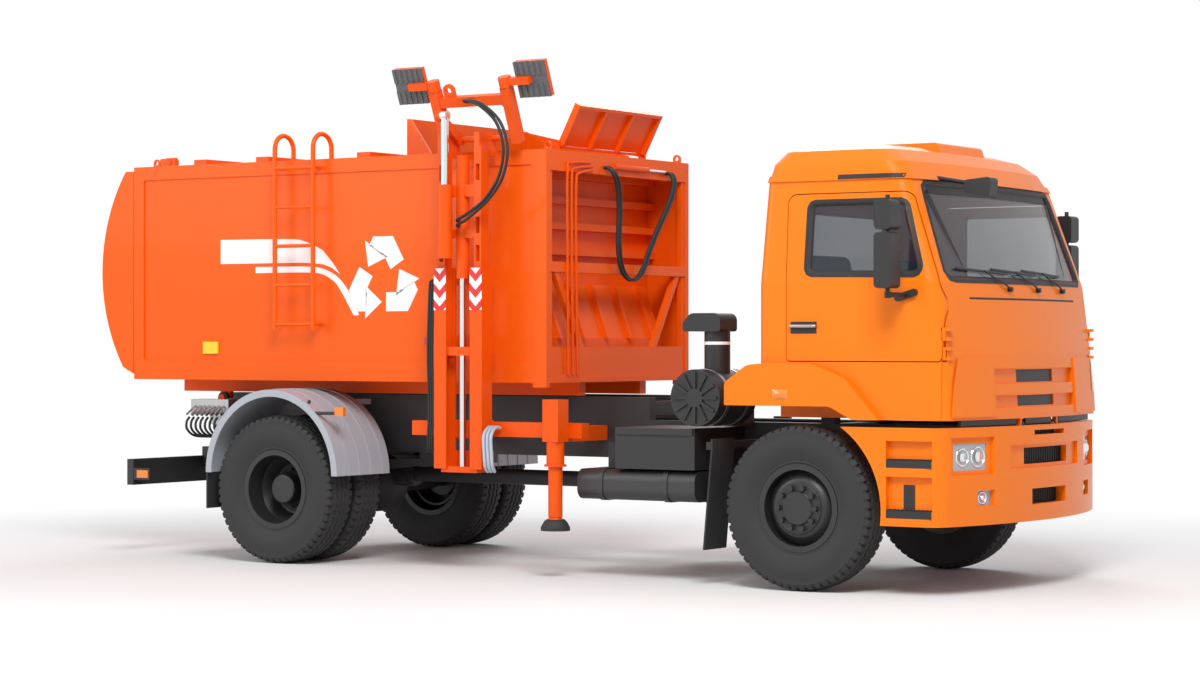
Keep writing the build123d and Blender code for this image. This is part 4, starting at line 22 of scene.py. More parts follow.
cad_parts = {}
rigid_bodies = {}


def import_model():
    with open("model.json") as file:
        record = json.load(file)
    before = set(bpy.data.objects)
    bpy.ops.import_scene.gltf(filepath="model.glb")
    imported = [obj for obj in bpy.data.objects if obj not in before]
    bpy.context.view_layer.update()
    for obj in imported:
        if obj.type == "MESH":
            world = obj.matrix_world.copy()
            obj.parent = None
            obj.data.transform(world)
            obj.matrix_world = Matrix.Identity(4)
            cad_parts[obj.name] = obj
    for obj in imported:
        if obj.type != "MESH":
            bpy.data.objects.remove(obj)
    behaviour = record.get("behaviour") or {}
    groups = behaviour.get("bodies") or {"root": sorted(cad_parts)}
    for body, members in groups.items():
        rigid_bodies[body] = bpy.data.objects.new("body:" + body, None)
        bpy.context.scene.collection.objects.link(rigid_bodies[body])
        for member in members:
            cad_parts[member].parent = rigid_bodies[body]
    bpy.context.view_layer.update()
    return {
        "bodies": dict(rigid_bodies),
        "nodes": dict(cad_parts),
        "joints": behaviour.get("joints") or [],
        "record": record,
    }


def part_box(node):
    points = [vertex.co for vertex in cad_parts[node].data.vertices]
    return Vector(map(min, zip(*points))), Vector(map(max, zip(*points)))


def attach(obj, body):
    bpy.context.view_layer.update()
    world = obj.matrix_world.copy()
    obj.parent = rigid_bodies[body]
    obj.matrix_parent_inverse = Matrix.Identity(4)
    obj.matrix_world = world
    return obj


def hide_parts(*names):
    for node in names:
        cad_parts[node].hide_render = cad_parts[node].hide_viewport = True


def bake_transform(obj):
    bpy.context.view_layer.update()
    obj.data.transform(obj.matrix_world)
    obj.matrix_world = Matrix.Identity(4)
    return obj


Colour = tuple[float, float, float]
Point = tuple[float, float, float]
Route = Sequence[Sequence[float]]
Box = tuple[Sequence[float], Sequence[float]]

LOG = logging.getLogger("garbage_truck")
FULL_TURN = 2 * math.pi
SHARP_ANGLE = math.radians(35)
# How proud of a wall a marking stands, and the radius that closes a turned end.
SKIN, TINY = 0.0012, 1e-4
# Where rays start towards the cab's front (X) and towards a side (distance from the middle plane).
AHEAD, ASIDE = 5.0, 2.0
BACKWARDS, FORWARDS = (-1.0, 0.0, 0.0), (1.0, 0.0, 0.0)
WHITE_LIGHT = (1.0, 1.0, 1.0)


class Side(Enum):
    """The two sides of the truck, as the sign of Y."""

    LEFT = 1
    RIGHT = -1

    @property
    def word(self) -> str:
        """The side as node names end with it."""
        return self.name.lower()

    @property
    def inwards(self) -> Point:
        """Direction from this side to the middle plane."""
        return (0.0, float(-self.value), 0.0)

    def span(self, near: float, far: float) -> list[float]:
        """Lower and upper Y between two distances from the middle plane."""
        return sorted((self.value * near, self.value * far))


class Sock:
    """An output socket that takes part in Python arithmetic by adding Math nodes."""

    def __init__(self, nodes: Nodes, socket: bpy.types.NodeSocket) -> None:
        """Keep the socket and the builder of its tree."""
        self.nodes, self.socket = nodes, socket

    def _math(self, operation: str, first: Value, second: Value) -> Sock:
        """Add one Math node and return its result."""
        return self.nodes.node("ShaderNodeMath", {"operation": operation}, {0: first, 1: second})

    def __add__(self, other: Value) -> Sock:
        """Sum."""
        return self._math("ADD", self, other)

    def __radd__(self, other: Value) -> Sock:
        """Sum with the number first."""
        return self._math("ADD", other, self)

    def __sub__(self, other: Value) -> Sock:
        """Difference."""
        return self._math("SUBTRACT", self, other)

    def __rsub__(self, other: Value) -> Sock:
        """Difference with the number first."""
        return self._math("SUBTRACT", other, self)

    def __mul__(self, other: Value) -> Sock:
        """Product."""
        return self._math("MULTIPLY", self, other)

    def __rmul__(self, other: Value) -> Sock:
        """Product with the number first."""
        return self._math("MULTIPLY", other, self)

    def __gt__(self, other: Value) -> Sock:
        """1 where this is greater, else 0."""
        return self._math("GREATER_THAN", self, other)

    def clamped(self) -> Sock:
        """This value held between 0 and 1."""
        return self.nodes.node("ShaderNodeClamp", {}, {"Value": self})


Value = Sock | float


class Nodes:
    """Adds nodes to a tree and links them."""

    def __init__(self, tree: bpy.types.NodeTree) -> None:
        """Keep the tree."""
        self.tree = tree

    def node(self, kind: str, settings: dict[str, object], inputs: dict[str | int, object],
             out: str | int = 0) -> Sock:
        """Add a node, set it up, and fill or link its inputs.

        Args:
            kind: the node's type.
            settings: attributes set first, such as an operation.
            inputs: socket name or index to a number, colour, vector or Sock.
            out: name or index of the output to return.

        Returns:
            The chosen output.
        """
        made = self.tree.nodes.new(kind)
        for key, value in settings.items():
            setattr(made, key, value)
        for key, value in inputs.items():
            self.feed(made.inputs[key], value)
        return Sock(self, made.outputs[out])

    def feed(self, socket: bpy.types.NodeSocket, value: object) -> None:
        """Link a Sock into an input, or set the input's own value."""
        if isinstance(value, Sock):
            self.tree.links.new(value.socket, socket)
        else:
            socket.default_value = value

    def seen(self) -> Sock:
        """1 for rays from the camera, a mirror or glass."""
        path = self.tree.nodes.new("ShaderNodeLightPath")
        camera, mirror, glass = (Sock(self, path.outputs[f"Is {kind} Ray"])
                                 for kind in ("Camera", "Glossy", "Transmission"))
        return (camera + mirror + glass).clamped()


class Shader(Nodes):
    """Builds one material from a Principled BSDF and the nodes that feed it."""

    def __init__(self, name: str) -> None:
        """Start a material that has only its output and its Principled BSDF.

        Args:
            name: the material's name.
        """
        self.material = bpy.data.materials.new(name)
        self.material.use_nodes = True
        super().__init__(self.material.node_tree)
        self.principled = self.tree.nodes["Principled BSDF"]
        self.output = self.tree.nodes["Material Output"]

    def place(self) -> Sock:
        """The surface's place in the frame, in metres."""
        return self.node("ShaderNodeTexCoord", {}, {}, "Object")

    def noise(self, scale: float, detail: float = 3.0) -> Sock:
        """Cloudy noise from 0 to 1 over the surface's place."""
        return self.node("ShaderNodeTexNoise", {}, {"Vector": self.place(), "Scale": scale, "Detail": detail})

    def mix(self, factor: Value, first: object, second: object) -> Sock:
        """Blend two colours by a factor."""
        return self.node("ShaderNodeMix", {"data_type": "RGBA"}, {0: factor, 6: first, 7: second}, 2)

    def bump(self, height: Sock, strength: float, distance: float) -> None:
        """Let a height value roughen the surface's normal."""
        self.set(Normal=self.node("ShaderNodeBump", {}, {"Height": height, "Strength": strength,
                                                         "Distance": distance}))

    def set(self, **sockets: object) -> None:
        """Fill inputs of the Principled BSDF, an underscore standing for a space."""
        for key, value in sockets.items():
            self.feed(self.principled.inputs[key.replace("_", " ")], value)


def rgba(colour: Colour) -> tuple[float, float, float, float]:
    """The colour with full opacity."""
    return (*colour, 1.0)


@dataclass(frozen=True)
class Finish:
    """A plain surface finish.

    Attributes:
        name: the material's name.
        colour: linear base colour.
        roughness: mean roughness.
        metallic: 1 for bare metal.
        coat: weight of a clear coat.
        grain: depth of a fine bump, in metres, or 0.
        grain_scale: how fine the grain is.
        mottle: how far the colour drifts over the surface.
        gloss: strength of the plain mirror-like reflection.
        cloud_scale: how fine the drift is.
        drift: how far the roughness drifts.
    """

    name: str
    colour: Colour
    roughness: float
    metallic: float = 0.0
    coat: float = 0.0
    grain: float = 0.0
    grain_scale: float = 400.0
    mottle: float = 0.05
    gloss: float = 0.5
    cloud_scale: float = 2.3
    drift: float = 0.12

    def material(self) -> bpy.types.Material:
        """Build the material.

        Returns:
            The new material.
        """
        shader = Shader(self.name)
        cloud = shader.noise(self.cloud_scale)
        darker, lighter = (rgba(tuple(min(c * (1 + change), 1.0) for c in self.colour))
                           for change in (-self.mottle, self.mottle))
        shader.set(Base_Color=shader.mix(cloud, darker, lighter), Metallic=self.metallic,
                   Specular_IOR_Level=self.gloss, Roughness=(cloud - 0.5) * self.drift + self.roughness)
        if self.coat:
            shader.set(Coat_Weight=self.coat, Coat_Roughness=0.08)
        if self.grain:
            shader.bump(shader.noise(self.grain_scale), 1.0, self.grain)
        return shader.material


@dataclass(frozen=True)
class Glazing:
    """Thin clear or tinted glass that lets light through.

    Attributes:
        name: the material's name.
        tint: the glass's own colour.
        clear: share of the surface that is seen through.
    """

    name: str
    tint: Colour
    clear: float

    def material(self) -> bpy.types.Material:
        """Build a glossy sheet that is partly see-through.

        Returns:
            The new material.
        """
        shader = Shader(self.name)
        shader.set(Base_Color=rgba(self.tint), Roughness=0.04, Coat_Weight=1.0, Alpha=1.0 - self.clear)
        return shader.material


@dataclass(frozen=True)
class Lens:
    """A lamp lens: glossy coloured plastic with a fine ribbed relief.

    Attributes:
        name: the material's name.
        colour: linear base colour.
        rib_scale: how fine the ribs are.
    """

    name: str
    colour: Colour
    rib_scale: float = 26.0

    def material(self) -> bpy.types.Material:
        """Build the lens.

        Returns:
            The new material.
        """
        shader = Shader(self.name)
        ribs = shader.node("ShaderNodeTexWave", {"bands_direction": "Y"},
                           {"Vector": shader.place(), "Scale": self.rib_scale})
        shader.set(Base_Color=rgba(self.colour), Roughness=0.12, Coat_Weight=1.0)
        shader.bump(ribs, 0.5, 0.001)
        return shader.material


@dataclass(frozen=True)
class Chevrons:
    """Reflective board with bands of two colours that slant to and fro across it.

    Attributes:
        name: the material's name.
        first: one band colour.
        second: the other band colour.
        pitch: height of a pair of bands.
        width: distance in X over which the slant goes there and back.
        shift: moves the slant's turning points along X.
    """

    name: str
    first: Colour
    second: Colour
    pitch: float
    width: float
    shift: float = 0.01

    def material(self) -> bpy.types.Material:
        """Build the board; a band is where frac((z - pingpong(x + shift, width / 2)) / pitch) > 1/2.

        Returns:
            The new material.
        """
        shader = Shader(self.name)
        place = shader.place()
        x, z = (shader.node("ShaderNodeSeparateXYZ", {}, {0: place}, axis) for axis in "XZ")
        across = shader.node("ShaderNodeMath", {"operation": "PINGPONG"},
                             {0: x + self.shift, 1: self.width / 2})
        step = shader.node("ShaderNodeMath", {"operation": "FRACT"}, {0: (z - across) * (1 / self.pitch)})
        shader.set(Base_Color=shader.mix(step > 0.5, rgba(self.first), rgba(self.second)), Roughness=0.35)
        return shader.material


class Finishes(Enum):
    """Every finish on the truck; a frame node's slot is its finish's name in small letters."""

    CAB_ORANGE = Finish("cab orange paint", (0.90, 0.19, 0.002), 0.36, coat=0.12, mottle=0.02, gloss=0.22)
    BODY_ORANGE = Finish("body orange paint", (0.86, 0.108, 0.002), 0.42, coat=0.08, mottle=0.03, gloss=0.2)
    LOADER_ORANGE = Finish("loader orange paint", (0.83, 0.090, 0.002), 0.42, coat=0.08, mottle=0.03, gloss=0.2)
    FRAME_BLACK = Finish("chassis black paint", (0.018, 0.018, 0.019), 0.5, mottle=0.2)
    CAST_BLACK = Finish("painted castings", (0.022, 0.022, 0.023), 0.6, grain=0.0006, grain_scale=250.0, mottle=0.2)
    WHEEL_BLACK = Finish("wheel black paint", (0.02, 0.02, 0.021), 0.42, mottle=0.15)
    TYRE = Finish("tyre rubber", (0.022, 0.022, 0.023), 0.72, grain=0.0003, grain_scale=700.0, mottle=0.2)
    PLASTIC_BLACK = Finish("black grained plastic", (0.014, 0.014, 0.015), 0.5, grain=0.0002, grain_scale=900.0)
    PLASTIC_GREY = Finish("grey dashboard plastic", (0.09, 0.10, 0.115), 0.6, grain=0.0002, grain_scale=900.0)
    FABRIC = Finish("seat cloth", (0.035, 0.037, 0.045), 0.9, grain=0.0004, grain_scale=1200.0)
    CHROME = Finish("polished rod", (0.78, 0.79, 0.80), 0.12, metallic=1.0)
    STEEL = Finish("bare steel", (0.42, 0.42, 0.43), 0.38, metallic=1.0, mottle=0.12)
    GUARD_GREY = Finish("grey mudguard plastic", (0.40, 0.42, 0.46), 0.5, mottle=0.03)
    SILENCER = Finish("dull heat shield", (0.06, 0.06, 0.062), 0.45, metallic=0.6, mottle=0.2)
    WHITE = Finish("white marking", (0.86, 0.86, 0.85), 0.45, mottle=0.02)
    YELLOW = Finish("yellow blank plate", (0.85, 0.60, 0.02), 0.4, mottle=0.02)
    RUBBER = Finish("window rubber", (0.010, 0.010, 0.011), 0.6)
    PAD = Finish("grey ribbed rubber", (0.11, 0.11, 0.115), 0.7, grain=0.0003)
    PALE_HOSE = Finish("pale sleeved pipe", (0.45, 0.52, 0.60), 0.45)
    HAZARD = Chevrons("red and white boards", (0.70, 0.015, 0.012), (0.88, 0.88, 0.87), 0.11, 0.10)
    HOSE = Finish("rubber hose", (0.012, 0.012, 0.013), 0.55)
    GLASS = Glazing("window glass", (0.025, 0.035, 0.050), 0.58)
    LAMP = Lens("headlamp lens", (0.36, 0.38, 0.41))
    AMBER = Lens("amber lens", (0.85, 0.22, 0.005), 40.0)
    RED_LENS = Lens("red lens", (0.5, 0.008, 0.006), 40.0)
    MIRROR = Finish("mirror glass", (0.85, 0.86, 0.88), 0.04, metallic=1.0, mottle=0.0)

    @cache
    def material(self) -> bpy.types.Material:
        """The finish's material, built the first time it is asked for."""
        return self.value.material()


def xyz(x: object, y: object, z: object) -> np.ndarray:
    """Points from coordinates, each a number or an array."""
    return np.stack(np.broadcast_arrays(x, y, z), axis=-1)


def turns(count: int) -> np.ndarray:
    """Angles at even steps round a circle."""
    return np.linspace(0, FULL_TURN, count, endpoint=False)


def recalculate(mesh: bpy.types.Mesh) -> None:
    """Merge doubled vertices and turn every face outwards."""
    work = bmesh.new()
    work.from_mesh(mesh)
    bmesh.ops.remove_doubles(work, verts=work.verts, dist=1e-6)
    bmesh.ops.recalc_face_normals(work, faces=work.faces)
    work.to_mesh(mesh)
    work.free()


@dataclass
class Shape:
    """Vertices and faces gathered as arrays, to become one mesh.

    Attributes:
        points: arrays of vertices.
        faces: arrays of vertex indices, four to a face.
        count: vertices so far.
    """

    points: list[np.ndarray] = field(default_factory=list)
    faces: list[np.ndarray] = field(default_factory=list)
    count: int = 0

    def add(self, points: np.ndarray, quads: np.ndarray) -> Shape:
        """Gather vertices and the quads between them, which count from the first of them.

        Args:
            points: array (..., 3).
            quads: array (..., 4).

        Returns:
            This shape.
        """
        self.points.append(points.reshape(-1, 3))
        self.faces.append(quads.reshape(-1, 4) + self.count)
        self.count += len(self.points[-1])
        return self

    def grid(self, surface: np.ndarray, wrap_u: bool = False, wrap_v: bool = False) -> Shape:
        """Add a surface sampled on a grid, a quad between each four neighbours.

        Args:
            surface: array (u, v, 3).
            wrap_u: join the last row to the first.
            wrap_v: join the last column to the first.

        Returns:
            This shape.
        """
        index = np.arange(surface.shape[0] * surface.shape[1]).reshape(surface.shape[:2])
        if wrap_u:
            index = np.vstack([index, index[:1]])
        if wrap_v:
            index = np.hstack([index, index[:, :1]])
        quads = np.stack([index[:-1, :-1], index[1:, :-1], index[1:, 1:], index[:-1, 1:]], axis=-1)
        return self.add(surface, quads)

    def tube(self, path: np.ndarray, radius: float, sides: int = 8, cap: float = 0.02) -> Shape:
        """Carry a circle along a path, with a flat cap at each end.

        The ring at each point is centre + radius (cos a * n + sin a * b), where n and b
        are square to the path; a ring shrunk almost to the centre closes each end.

        Args:
            path: array (n, 3).
            radius: the tube's radius.
            sides: points round the tube.
            cap: share of the radius that the end rings keep.

        Returns:
            This shape.
        """
        path = np.array(path, float)
        along = np.gradient(path, axis=0)
        along /= np.linalg.norm(along, axis=1, keepdims=True)
        seed = np.eye(3)[np.argmin(np.abs(along).max(axis=0))]
        normal = np.cross(along, seed)
        normal /= np.linalg.norm(normal, axis=1, keepdims=True)
        other = np.cross(along, normal)
        angle = turns(sides)[None, :, None]
        ring = np.cos(angle) * normal[:, None] + np.sin(angle) * other[:, None]
        scale = np.full((len(path) + 2, 1, 1), radius)
        scale[[0, -1]] *= cap
        centres, rings = (np.concatenate([rows[:1], rows, rows[-1:]]) for rows in (path[:, None], ring))
        return self.grid(centres + rings * scale, wrap_v=True)

    def turned(self, profile: Route, centre: Sequence[float], steps: int, axis: int = 1,
               closed: bool = False) -> Shape:
        """Turn a profile of (radius, along) rows about an axis through a centre.

        Args:
            profile: the rows.
            centre: point on the axis.
            steps: points round the axis.
            axis: 0, 1 or 2 for an axis along X, Y or Z.
            closed: join the profile's end to its start.

        Returns:
            This shape.
        """
        angle = turns(steps)[:, None]
        radius, along = np.array(profile, float).T[:, None]
        parts = [radius * np.cos(angle), radius * np.sin(angle)]
        parts.insert(axis, along)
        return self.grid(xyz(*parts) + np.array(centre), wrap_u=True, wrap_v=closed)

    def block(self, corners: np.ndarray) -> Shape:
        """Add six-sided blocks.

        Args:
            corners: array (n, 8, 3), each block's corners counted in X first, then Y, then Z.

        Returns:
            This shape.
        """
        sides = np.array([[0, 2, 3, 1], [4, 5, 7, 6], [0, 1, 5, 4], [2, 6, 7, 3], [0, 4, 6, 2], [1, 3, 7, 5]])
        return self.add(corners, sides + 8 * np.arange(len(corners))[:, None, None])

    def boxes(self, boxes: Iterable[Box]) -> Shape:
        """Add square blocks given by their low and high corners."""
        low, high = np.array(list(boxes), float).transpose(1, 0, 2)[:, :, None]
        bits = np.array([[i & 1, i >> 1 & 1, i >> 2 & 1] for i in range(8)])
        return self.block(low + bits * (high - low))

    def plate(self, outline: np.ndarray, raised: np.ndarray) -> Shape:
        """Add a plate with a four-cornered outline (4, 3), thickened by a vector."""
        face = outline[[0, 1, 3, 2]]
        return self.block(np.vstack([face, face + raised])[None])

    def make(self, name: str, body: str | None, finish: Finishes, smooth: bool = False) -> bpy.types.Object:
        """Turn the arrays into an object that rides on a body.

        Args:
            name: the piece's name.
            body: the body that it moves with, or None to leave it on no body.
            finish: its finish.
            smooth: shade its faces smoothly where they meet at a shallow angle.

        Returns:
            The new object.
        """
        mesh = bpy.data.meshes.new(name)
        mesh.from_pydata(np.vstack(self.points).tolist(), [], np.vstack(self.faces).tolist())
        mesh.validate()
        obj = bpy.data.objects.new(name, mesh)
        bpy.context.scene.collection.objects.link(obj)
        mesh.materials.append(finish.material())
        recalculate(mesh)
        if smooth:
            mesh.shade_smooth()
            mesh.set_sharp_from_angle(angle=SHARP_ANGLE)
        if body:
            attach(obj, body)
        LOG.info("%s: %d faces on %s", name, len(mesh.polygons), body or "two bodies")
        return obj


def middle(node: str) -> np.ndarray:
    """Centre of a node's box."""
    low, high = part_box(node)
    return np.array((low + high) / 2)


def spread(outline: np.ndarray, count: int, closed: bool = True) -> np.ndarray:
    """Points at even steps along a line or round an outline."""
    loop = np.vstack([outline, outline[:1]]) if closed else outline
    reach = np.concatenate([[0], np.cumsum(np.linalg.norm(np.diff(loop, axis=0), axis=1))])
    at = np.linspace(0, reach[-1], count, endpoint=not closed)
    return np.column_stack([np.interp(at, reach, loop[:, axis]) for axis in range(loop.shape[1])])


def smooth_line(points: Route, count: int) -> np.ndarray:
    """A Catmull-Rom curve through given points.

    Between points p1 and p2 it is ((2 p1) + (p2 - p0) t + (2 p0 - 5 p1 + 4 p2 - p3) t^2
    + (3 p1 - p0 - 3 p2 + p3) t^3) / 2, with t from 0 to 1.

    Args:
        points: places that the curve passes.
        count: points on the result.

    Returns:
        Array (count, axes), evenly spaced.
    """
    knots = np.array(points, float)
    knots = np.vstack([2 * knots[0] - knots[1], knots, 2 * knots[-1] - knots[-2]])
    t = np.linspace(0, 1, 16, endpoint=False)[:, None]
    parts = []
    for p0, p1, p2, p3 in zip(knots, knots[1:], knots[2:], knots[3:]):
        parts.append((2 * p1 + (p2 - p0) * t + (2 * p0 - 5 * p1 + 4 * p2 - p3) * t ** 2
                      + (3 * p1 - p0 - 3 * p2 + p3) * t ** 3) / 2)
    return spread(np.vstack([*parts, knots[-2:-1]]), count, closed=False)


def blocks(name: str, body: str, finish: Finishes, *boxes: Box) -> None:
    """Make one piece from square blocks given by their low and high corners."""
    Shape().boxes(boxes).make(name, body, finish)


def pipes(name: str, body: str, finish: Finishes, radius: float, count: int, *routes: Route,
          sides: int = 8) -> None:
    """Make one piece from round pipes along smooth routes.

    Args:
        name: the piece's name.
        body: the body that it moves with.
        finish: its finish.
        radius: the pipes' radius.
        count: points along a pipe.
        routes: places that each pipe passes.
        sides: points round a pipe.
    """
    shape = Shape()
    for route in routes:
        shape.tube(smooth_line(route, count), radius, sides)
    shape.make(name, body, finish, smooth=True)


@dataclass
class Tyres:
    """Road tyres with zigzag grooves and shoulder slots, in place of the plain ones.

    Attributes:
        width: one tyre's width.
        groove: depth of the tread.
        pitches: shoulder slots round a tyre.
        samples: grid points to a slot's pitch.
        bead: the bead's radius, as a share of the tyre's.
        sidewall: (height over the bead, share of the half width) rows, from the bead outwards.
        edge: (depth under the tread, share of the half width) rows of the shoulder's edge.
        crown: share of the half width that the crown covers.
        drop: how far the crown falls to its edges.
        lines: places of the zigzag grooves, as shares of the half width.
        swing: how far a zigzag swings to each side, as such a share.
        line_half: half a zigzag groove's width, as such a share.
        shoulder: share of the half width where the slots start.
        slot: share of a pitch that a slot takes up.
    """

    width: float = 0.2776
    groove: float = 0.014
    pitches: int = 56
    samples: int = 10
    bead: float = 0.488
    sidewall: Route = ((0.0, 0.70), (0.018, 0.71), (0.03, 0.78), (0.036, 0.80), (0.042, 0.79), (0.10, 0.965),
                       (0.14, 1.0), (0.19, 0.985), (0.225, 0.945), (0.228, 0.952))
    edge: Route = ((0.034, 0.93), (0.022, 0.915))
    crown: float = 0.86
    drop: float = 0.011
    lines: tuple[float, ...] = (-0.34, 0.0, 0.34)
    swing: float = 0.05
    line_half: float = 0.045
    shoulder: float = 0.62
    slot: float = 0.24

    def profile(self, radius: float) -> np.ndarray:
        """Section of a tyre from bead to bead.

        Args:
            radius: the tyre's radius to the tread.

        Returns:
            Rows of radius, place along the axle, and 1 where the tread's grooves may be.
        """
        half = self.width / 2
        side = np.array([[radius * self.bead + rise, share * half] for rise, share in self.sidewall]
                        + [[radius - depth, share * half] for depth, share in self.edge])
        cross = np.linspace(self.crown, -self.crown, 35)
        crown = np.stack([radius - self.drop * np.abs(cross / self.crown) ** 2.5, cross * half], axis=1)
        rows = np.vstack([side, crown, side[::-1] * [1, -1]])
        tread = np.zeros(len(rows))
        plain = len(self.sidewall)
        tread[plain:-plain] = 1
        return np.column_stack([rows, tread])

    def surface(self, centre: np.ndarray, radius: float) -> np.ndarray:
        """Turn the profile, pressing in grooves.

        With s the share of the half width, a groove is pressed in where
        |s - line - swing tri(pitch)| < line_half, or, on the shoulder |s| > shoulder, at the
        start of each pitch.

        Args:
            centre: the tyre's centre.
            radius: its radius to the tread.

        Returns:
            Points (angle, profile, 3).
        """
        rows = self.profile(radius)
        steps = self.pitches * self.samples
        turn = np.arange(steps)[:, None] / steps
        pitch = (turn * self.pitches) % 1.0
        wave = np.abs(pitch * 2 - 1) * 2 - 1
        share = rows[:, 1] / (self.width / 2)
        cut = (np.abs(share) > self.shoulder) & (pitch < self.slot)
        for line in self.lines:
            cut |= np.abs(share - line - self.swing * wave) < self.line_half
        reach = rows[:, 0] - self.groove * cut * rows[:, 2]
        angle = turn * FULL_TURN
        return centre + xyz(reach * np.cos(angle), rows[:, 1], reach * np.sin(angle))

    def build(self) -> None:
        """Make each wheel position's tyre or pair of tyres."""
        for kind, body in (("front_tyre", "wheel_front"), ("rear_tyres", "wheels_rear")):
            for side in Side:
                node = f"{kind}_{side.word}"
                low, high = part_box(node)
                apart = (high.y - low.y - self.width) / 2
                shape = Shape()
                for offset in (-apart, apart) if kind == "rear_tyres" else (0.0,):
                    centre = middle(node) + [0, offset, 0]
                    shape.grid(self.surface(centre, (high.x - low.x) / 2), wrap_u=True, wrap_v=True)
                piece = shape.make("treaded_" + node, f"{body}_{side.word}", Finishes.TYRE, smooth=True)
                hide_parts(node)


@dataclass
class WheelNuts:
    """Rings of hexagon nuts on the wheel discs.

    Attributes:
        count: nuts to a wheel.
        circle: radius of the ring.
        across: a nut's radius over its corners.
        taper: share of that radius at the nut's foot.
        sunk: how far the front nuts' feet are behind the wheel's outer face.
        rear_lift: how far the rear nuts' feet are from the middle of the twin wheels.
    """

    count: int = 10
    circle: float = 0.132
    across: float = 0.019
    taper: float = 0.94
    sunk: float = 0.010
    rear_lift: float = 0.02

    def ring(self, centre: np.ndarray, depth: float) -> Shape:
        """Nuts about an axis along Y, each a short six-sided prism of a depth that has a sign."""
        shape = Shape()
        profile = ((TINY, depth), (self.across, depth), (self.across * self.taper, 0.0), (TINY, 0.0))
        for turn in np.arange(self.count) * FULL_TURN / self.count:
            shape.turned(profile, centre + self.circle * np.array([math.cos(turn), 0, math.sin(turn)]), 6)
        return shape

    def build(self) -> None:
        """Make the nuts of all four wheel positions."""
        for kind, body, depth in (("front_wheel", "wheel_front", 0.028), ("rear_wheels", "wheels_rear", 0.03)):
            for side in Side:
                node = f"{kind}_{side.word}"
                low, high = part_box(node)
                lift = (high.y - low.y) / 2 - self.sunk if kind == "front_wheel" else self.rear_lift
                shape = self.ring(middle(node) + [0, side.value * lift, 0], side.value * depth)
                shape.make(f"wheel_nuts_{node}", f"{body}_{side.word}", Finishes.WHEEL_BLACK)


class Skin:
    """The outer surface of some frame nodes, onto which trim is laid."""

    def __init__(self, frame: dict, *nodes: str) -> None:
        """Gather the nodes' faces.

        Args:
            nodes: names of the nodes.
        """
        points: list[Vector] = []
        faces: list[list[int]] = []
        for name in nodes:
            obj = frame["nodes"][name]
            start = len(points)
            points += [obj.matrix_world @ vertex.co for vertex in obj.data.vertices]
            faces += [[start + index for index in polygon.vertices] for polygon in obj.data.polygons]
        self.tree = BVHTree.FromPolygons(points, faces)

    def cast(self, points: np.ndarray, direction: Point, lift: float = 0.0) -> np.ndarray:
        """Move points along a direction until they meet the surface.

        Args:
            points: array (..., 3) outside the surface.
            direction: unit direction towards it.
            lift: how far the result stays in front of the surface.

        Returns:
            Array of the same shape; a point that misses goes to the nearest face.
        """
        found = []
        for point in np.asarray(points, float).reshape(-1, 3):
            hit = self.tree.ray_cast(Vector(point), Vector(direction))[0]
            found.append(hit if hit is not None else self.tree.find_nearest(Vector(point))[0])
        return np.array(found).reshape(np.shape(points)) - np.array(direction) * lift

    def band(self, shape: Shape, edges: Iterable[np.ndarray], direction: Point, lift: float,
             depth: float) -> None:
        """Lay a thin band onto the surface, closed round its section.

        Args:
            shape: gathers the band.
            edges: the band's two edges, as points outside the surface.
            direction: unit direction towards it.
            lift: how far the band's face stands in front of the surface.
            depth: the band's thickness.
        """
        first, second = (self.cast(edge, direction, lift) for edge in edges)
        back = np.array(direction) * depth
        shape.grid(np.stack([first, second, second + back, first + back]), wrap_u=True)


def hull(points: np.ndarray) -> np.ndarray:
    """Convex outline of flat points, anticlockwise, by the monotone chain rule."""
    ordered = np.unique(np.round(points, 5), axis=0).tolist()

    def chain(rows: list[list[float]]) -> list[list[float]]:
        """One side of the outline."""
        line: list[list[float]] = []
        for row in rows:
            while len(line) > 1:
                (ax, ay), (bx, by) = line[-2], line[-1]
                if (bx - ax) * (row[1] - ay) - (by - ay) * (row[0] - ax) > 1e-12:
                    break
                line.pop()
            line.append(row)
        return line[:-1]

    return np.array(chain(ordered) + chain(ordered[::-1]))


def grown(outline: np.ndarray, by: float) -> np.ndarray:
    """A closed outline moved outwards along its normals."""
    along = np.roll(outline, -1, axis=0) - np.roll(outline, 1, axis=0)
    along /= np.linalg.norm(along, axis=1, keepdims=True)
    return outline + by * np.column_stack([along[:, 1], -along[:, 0]])


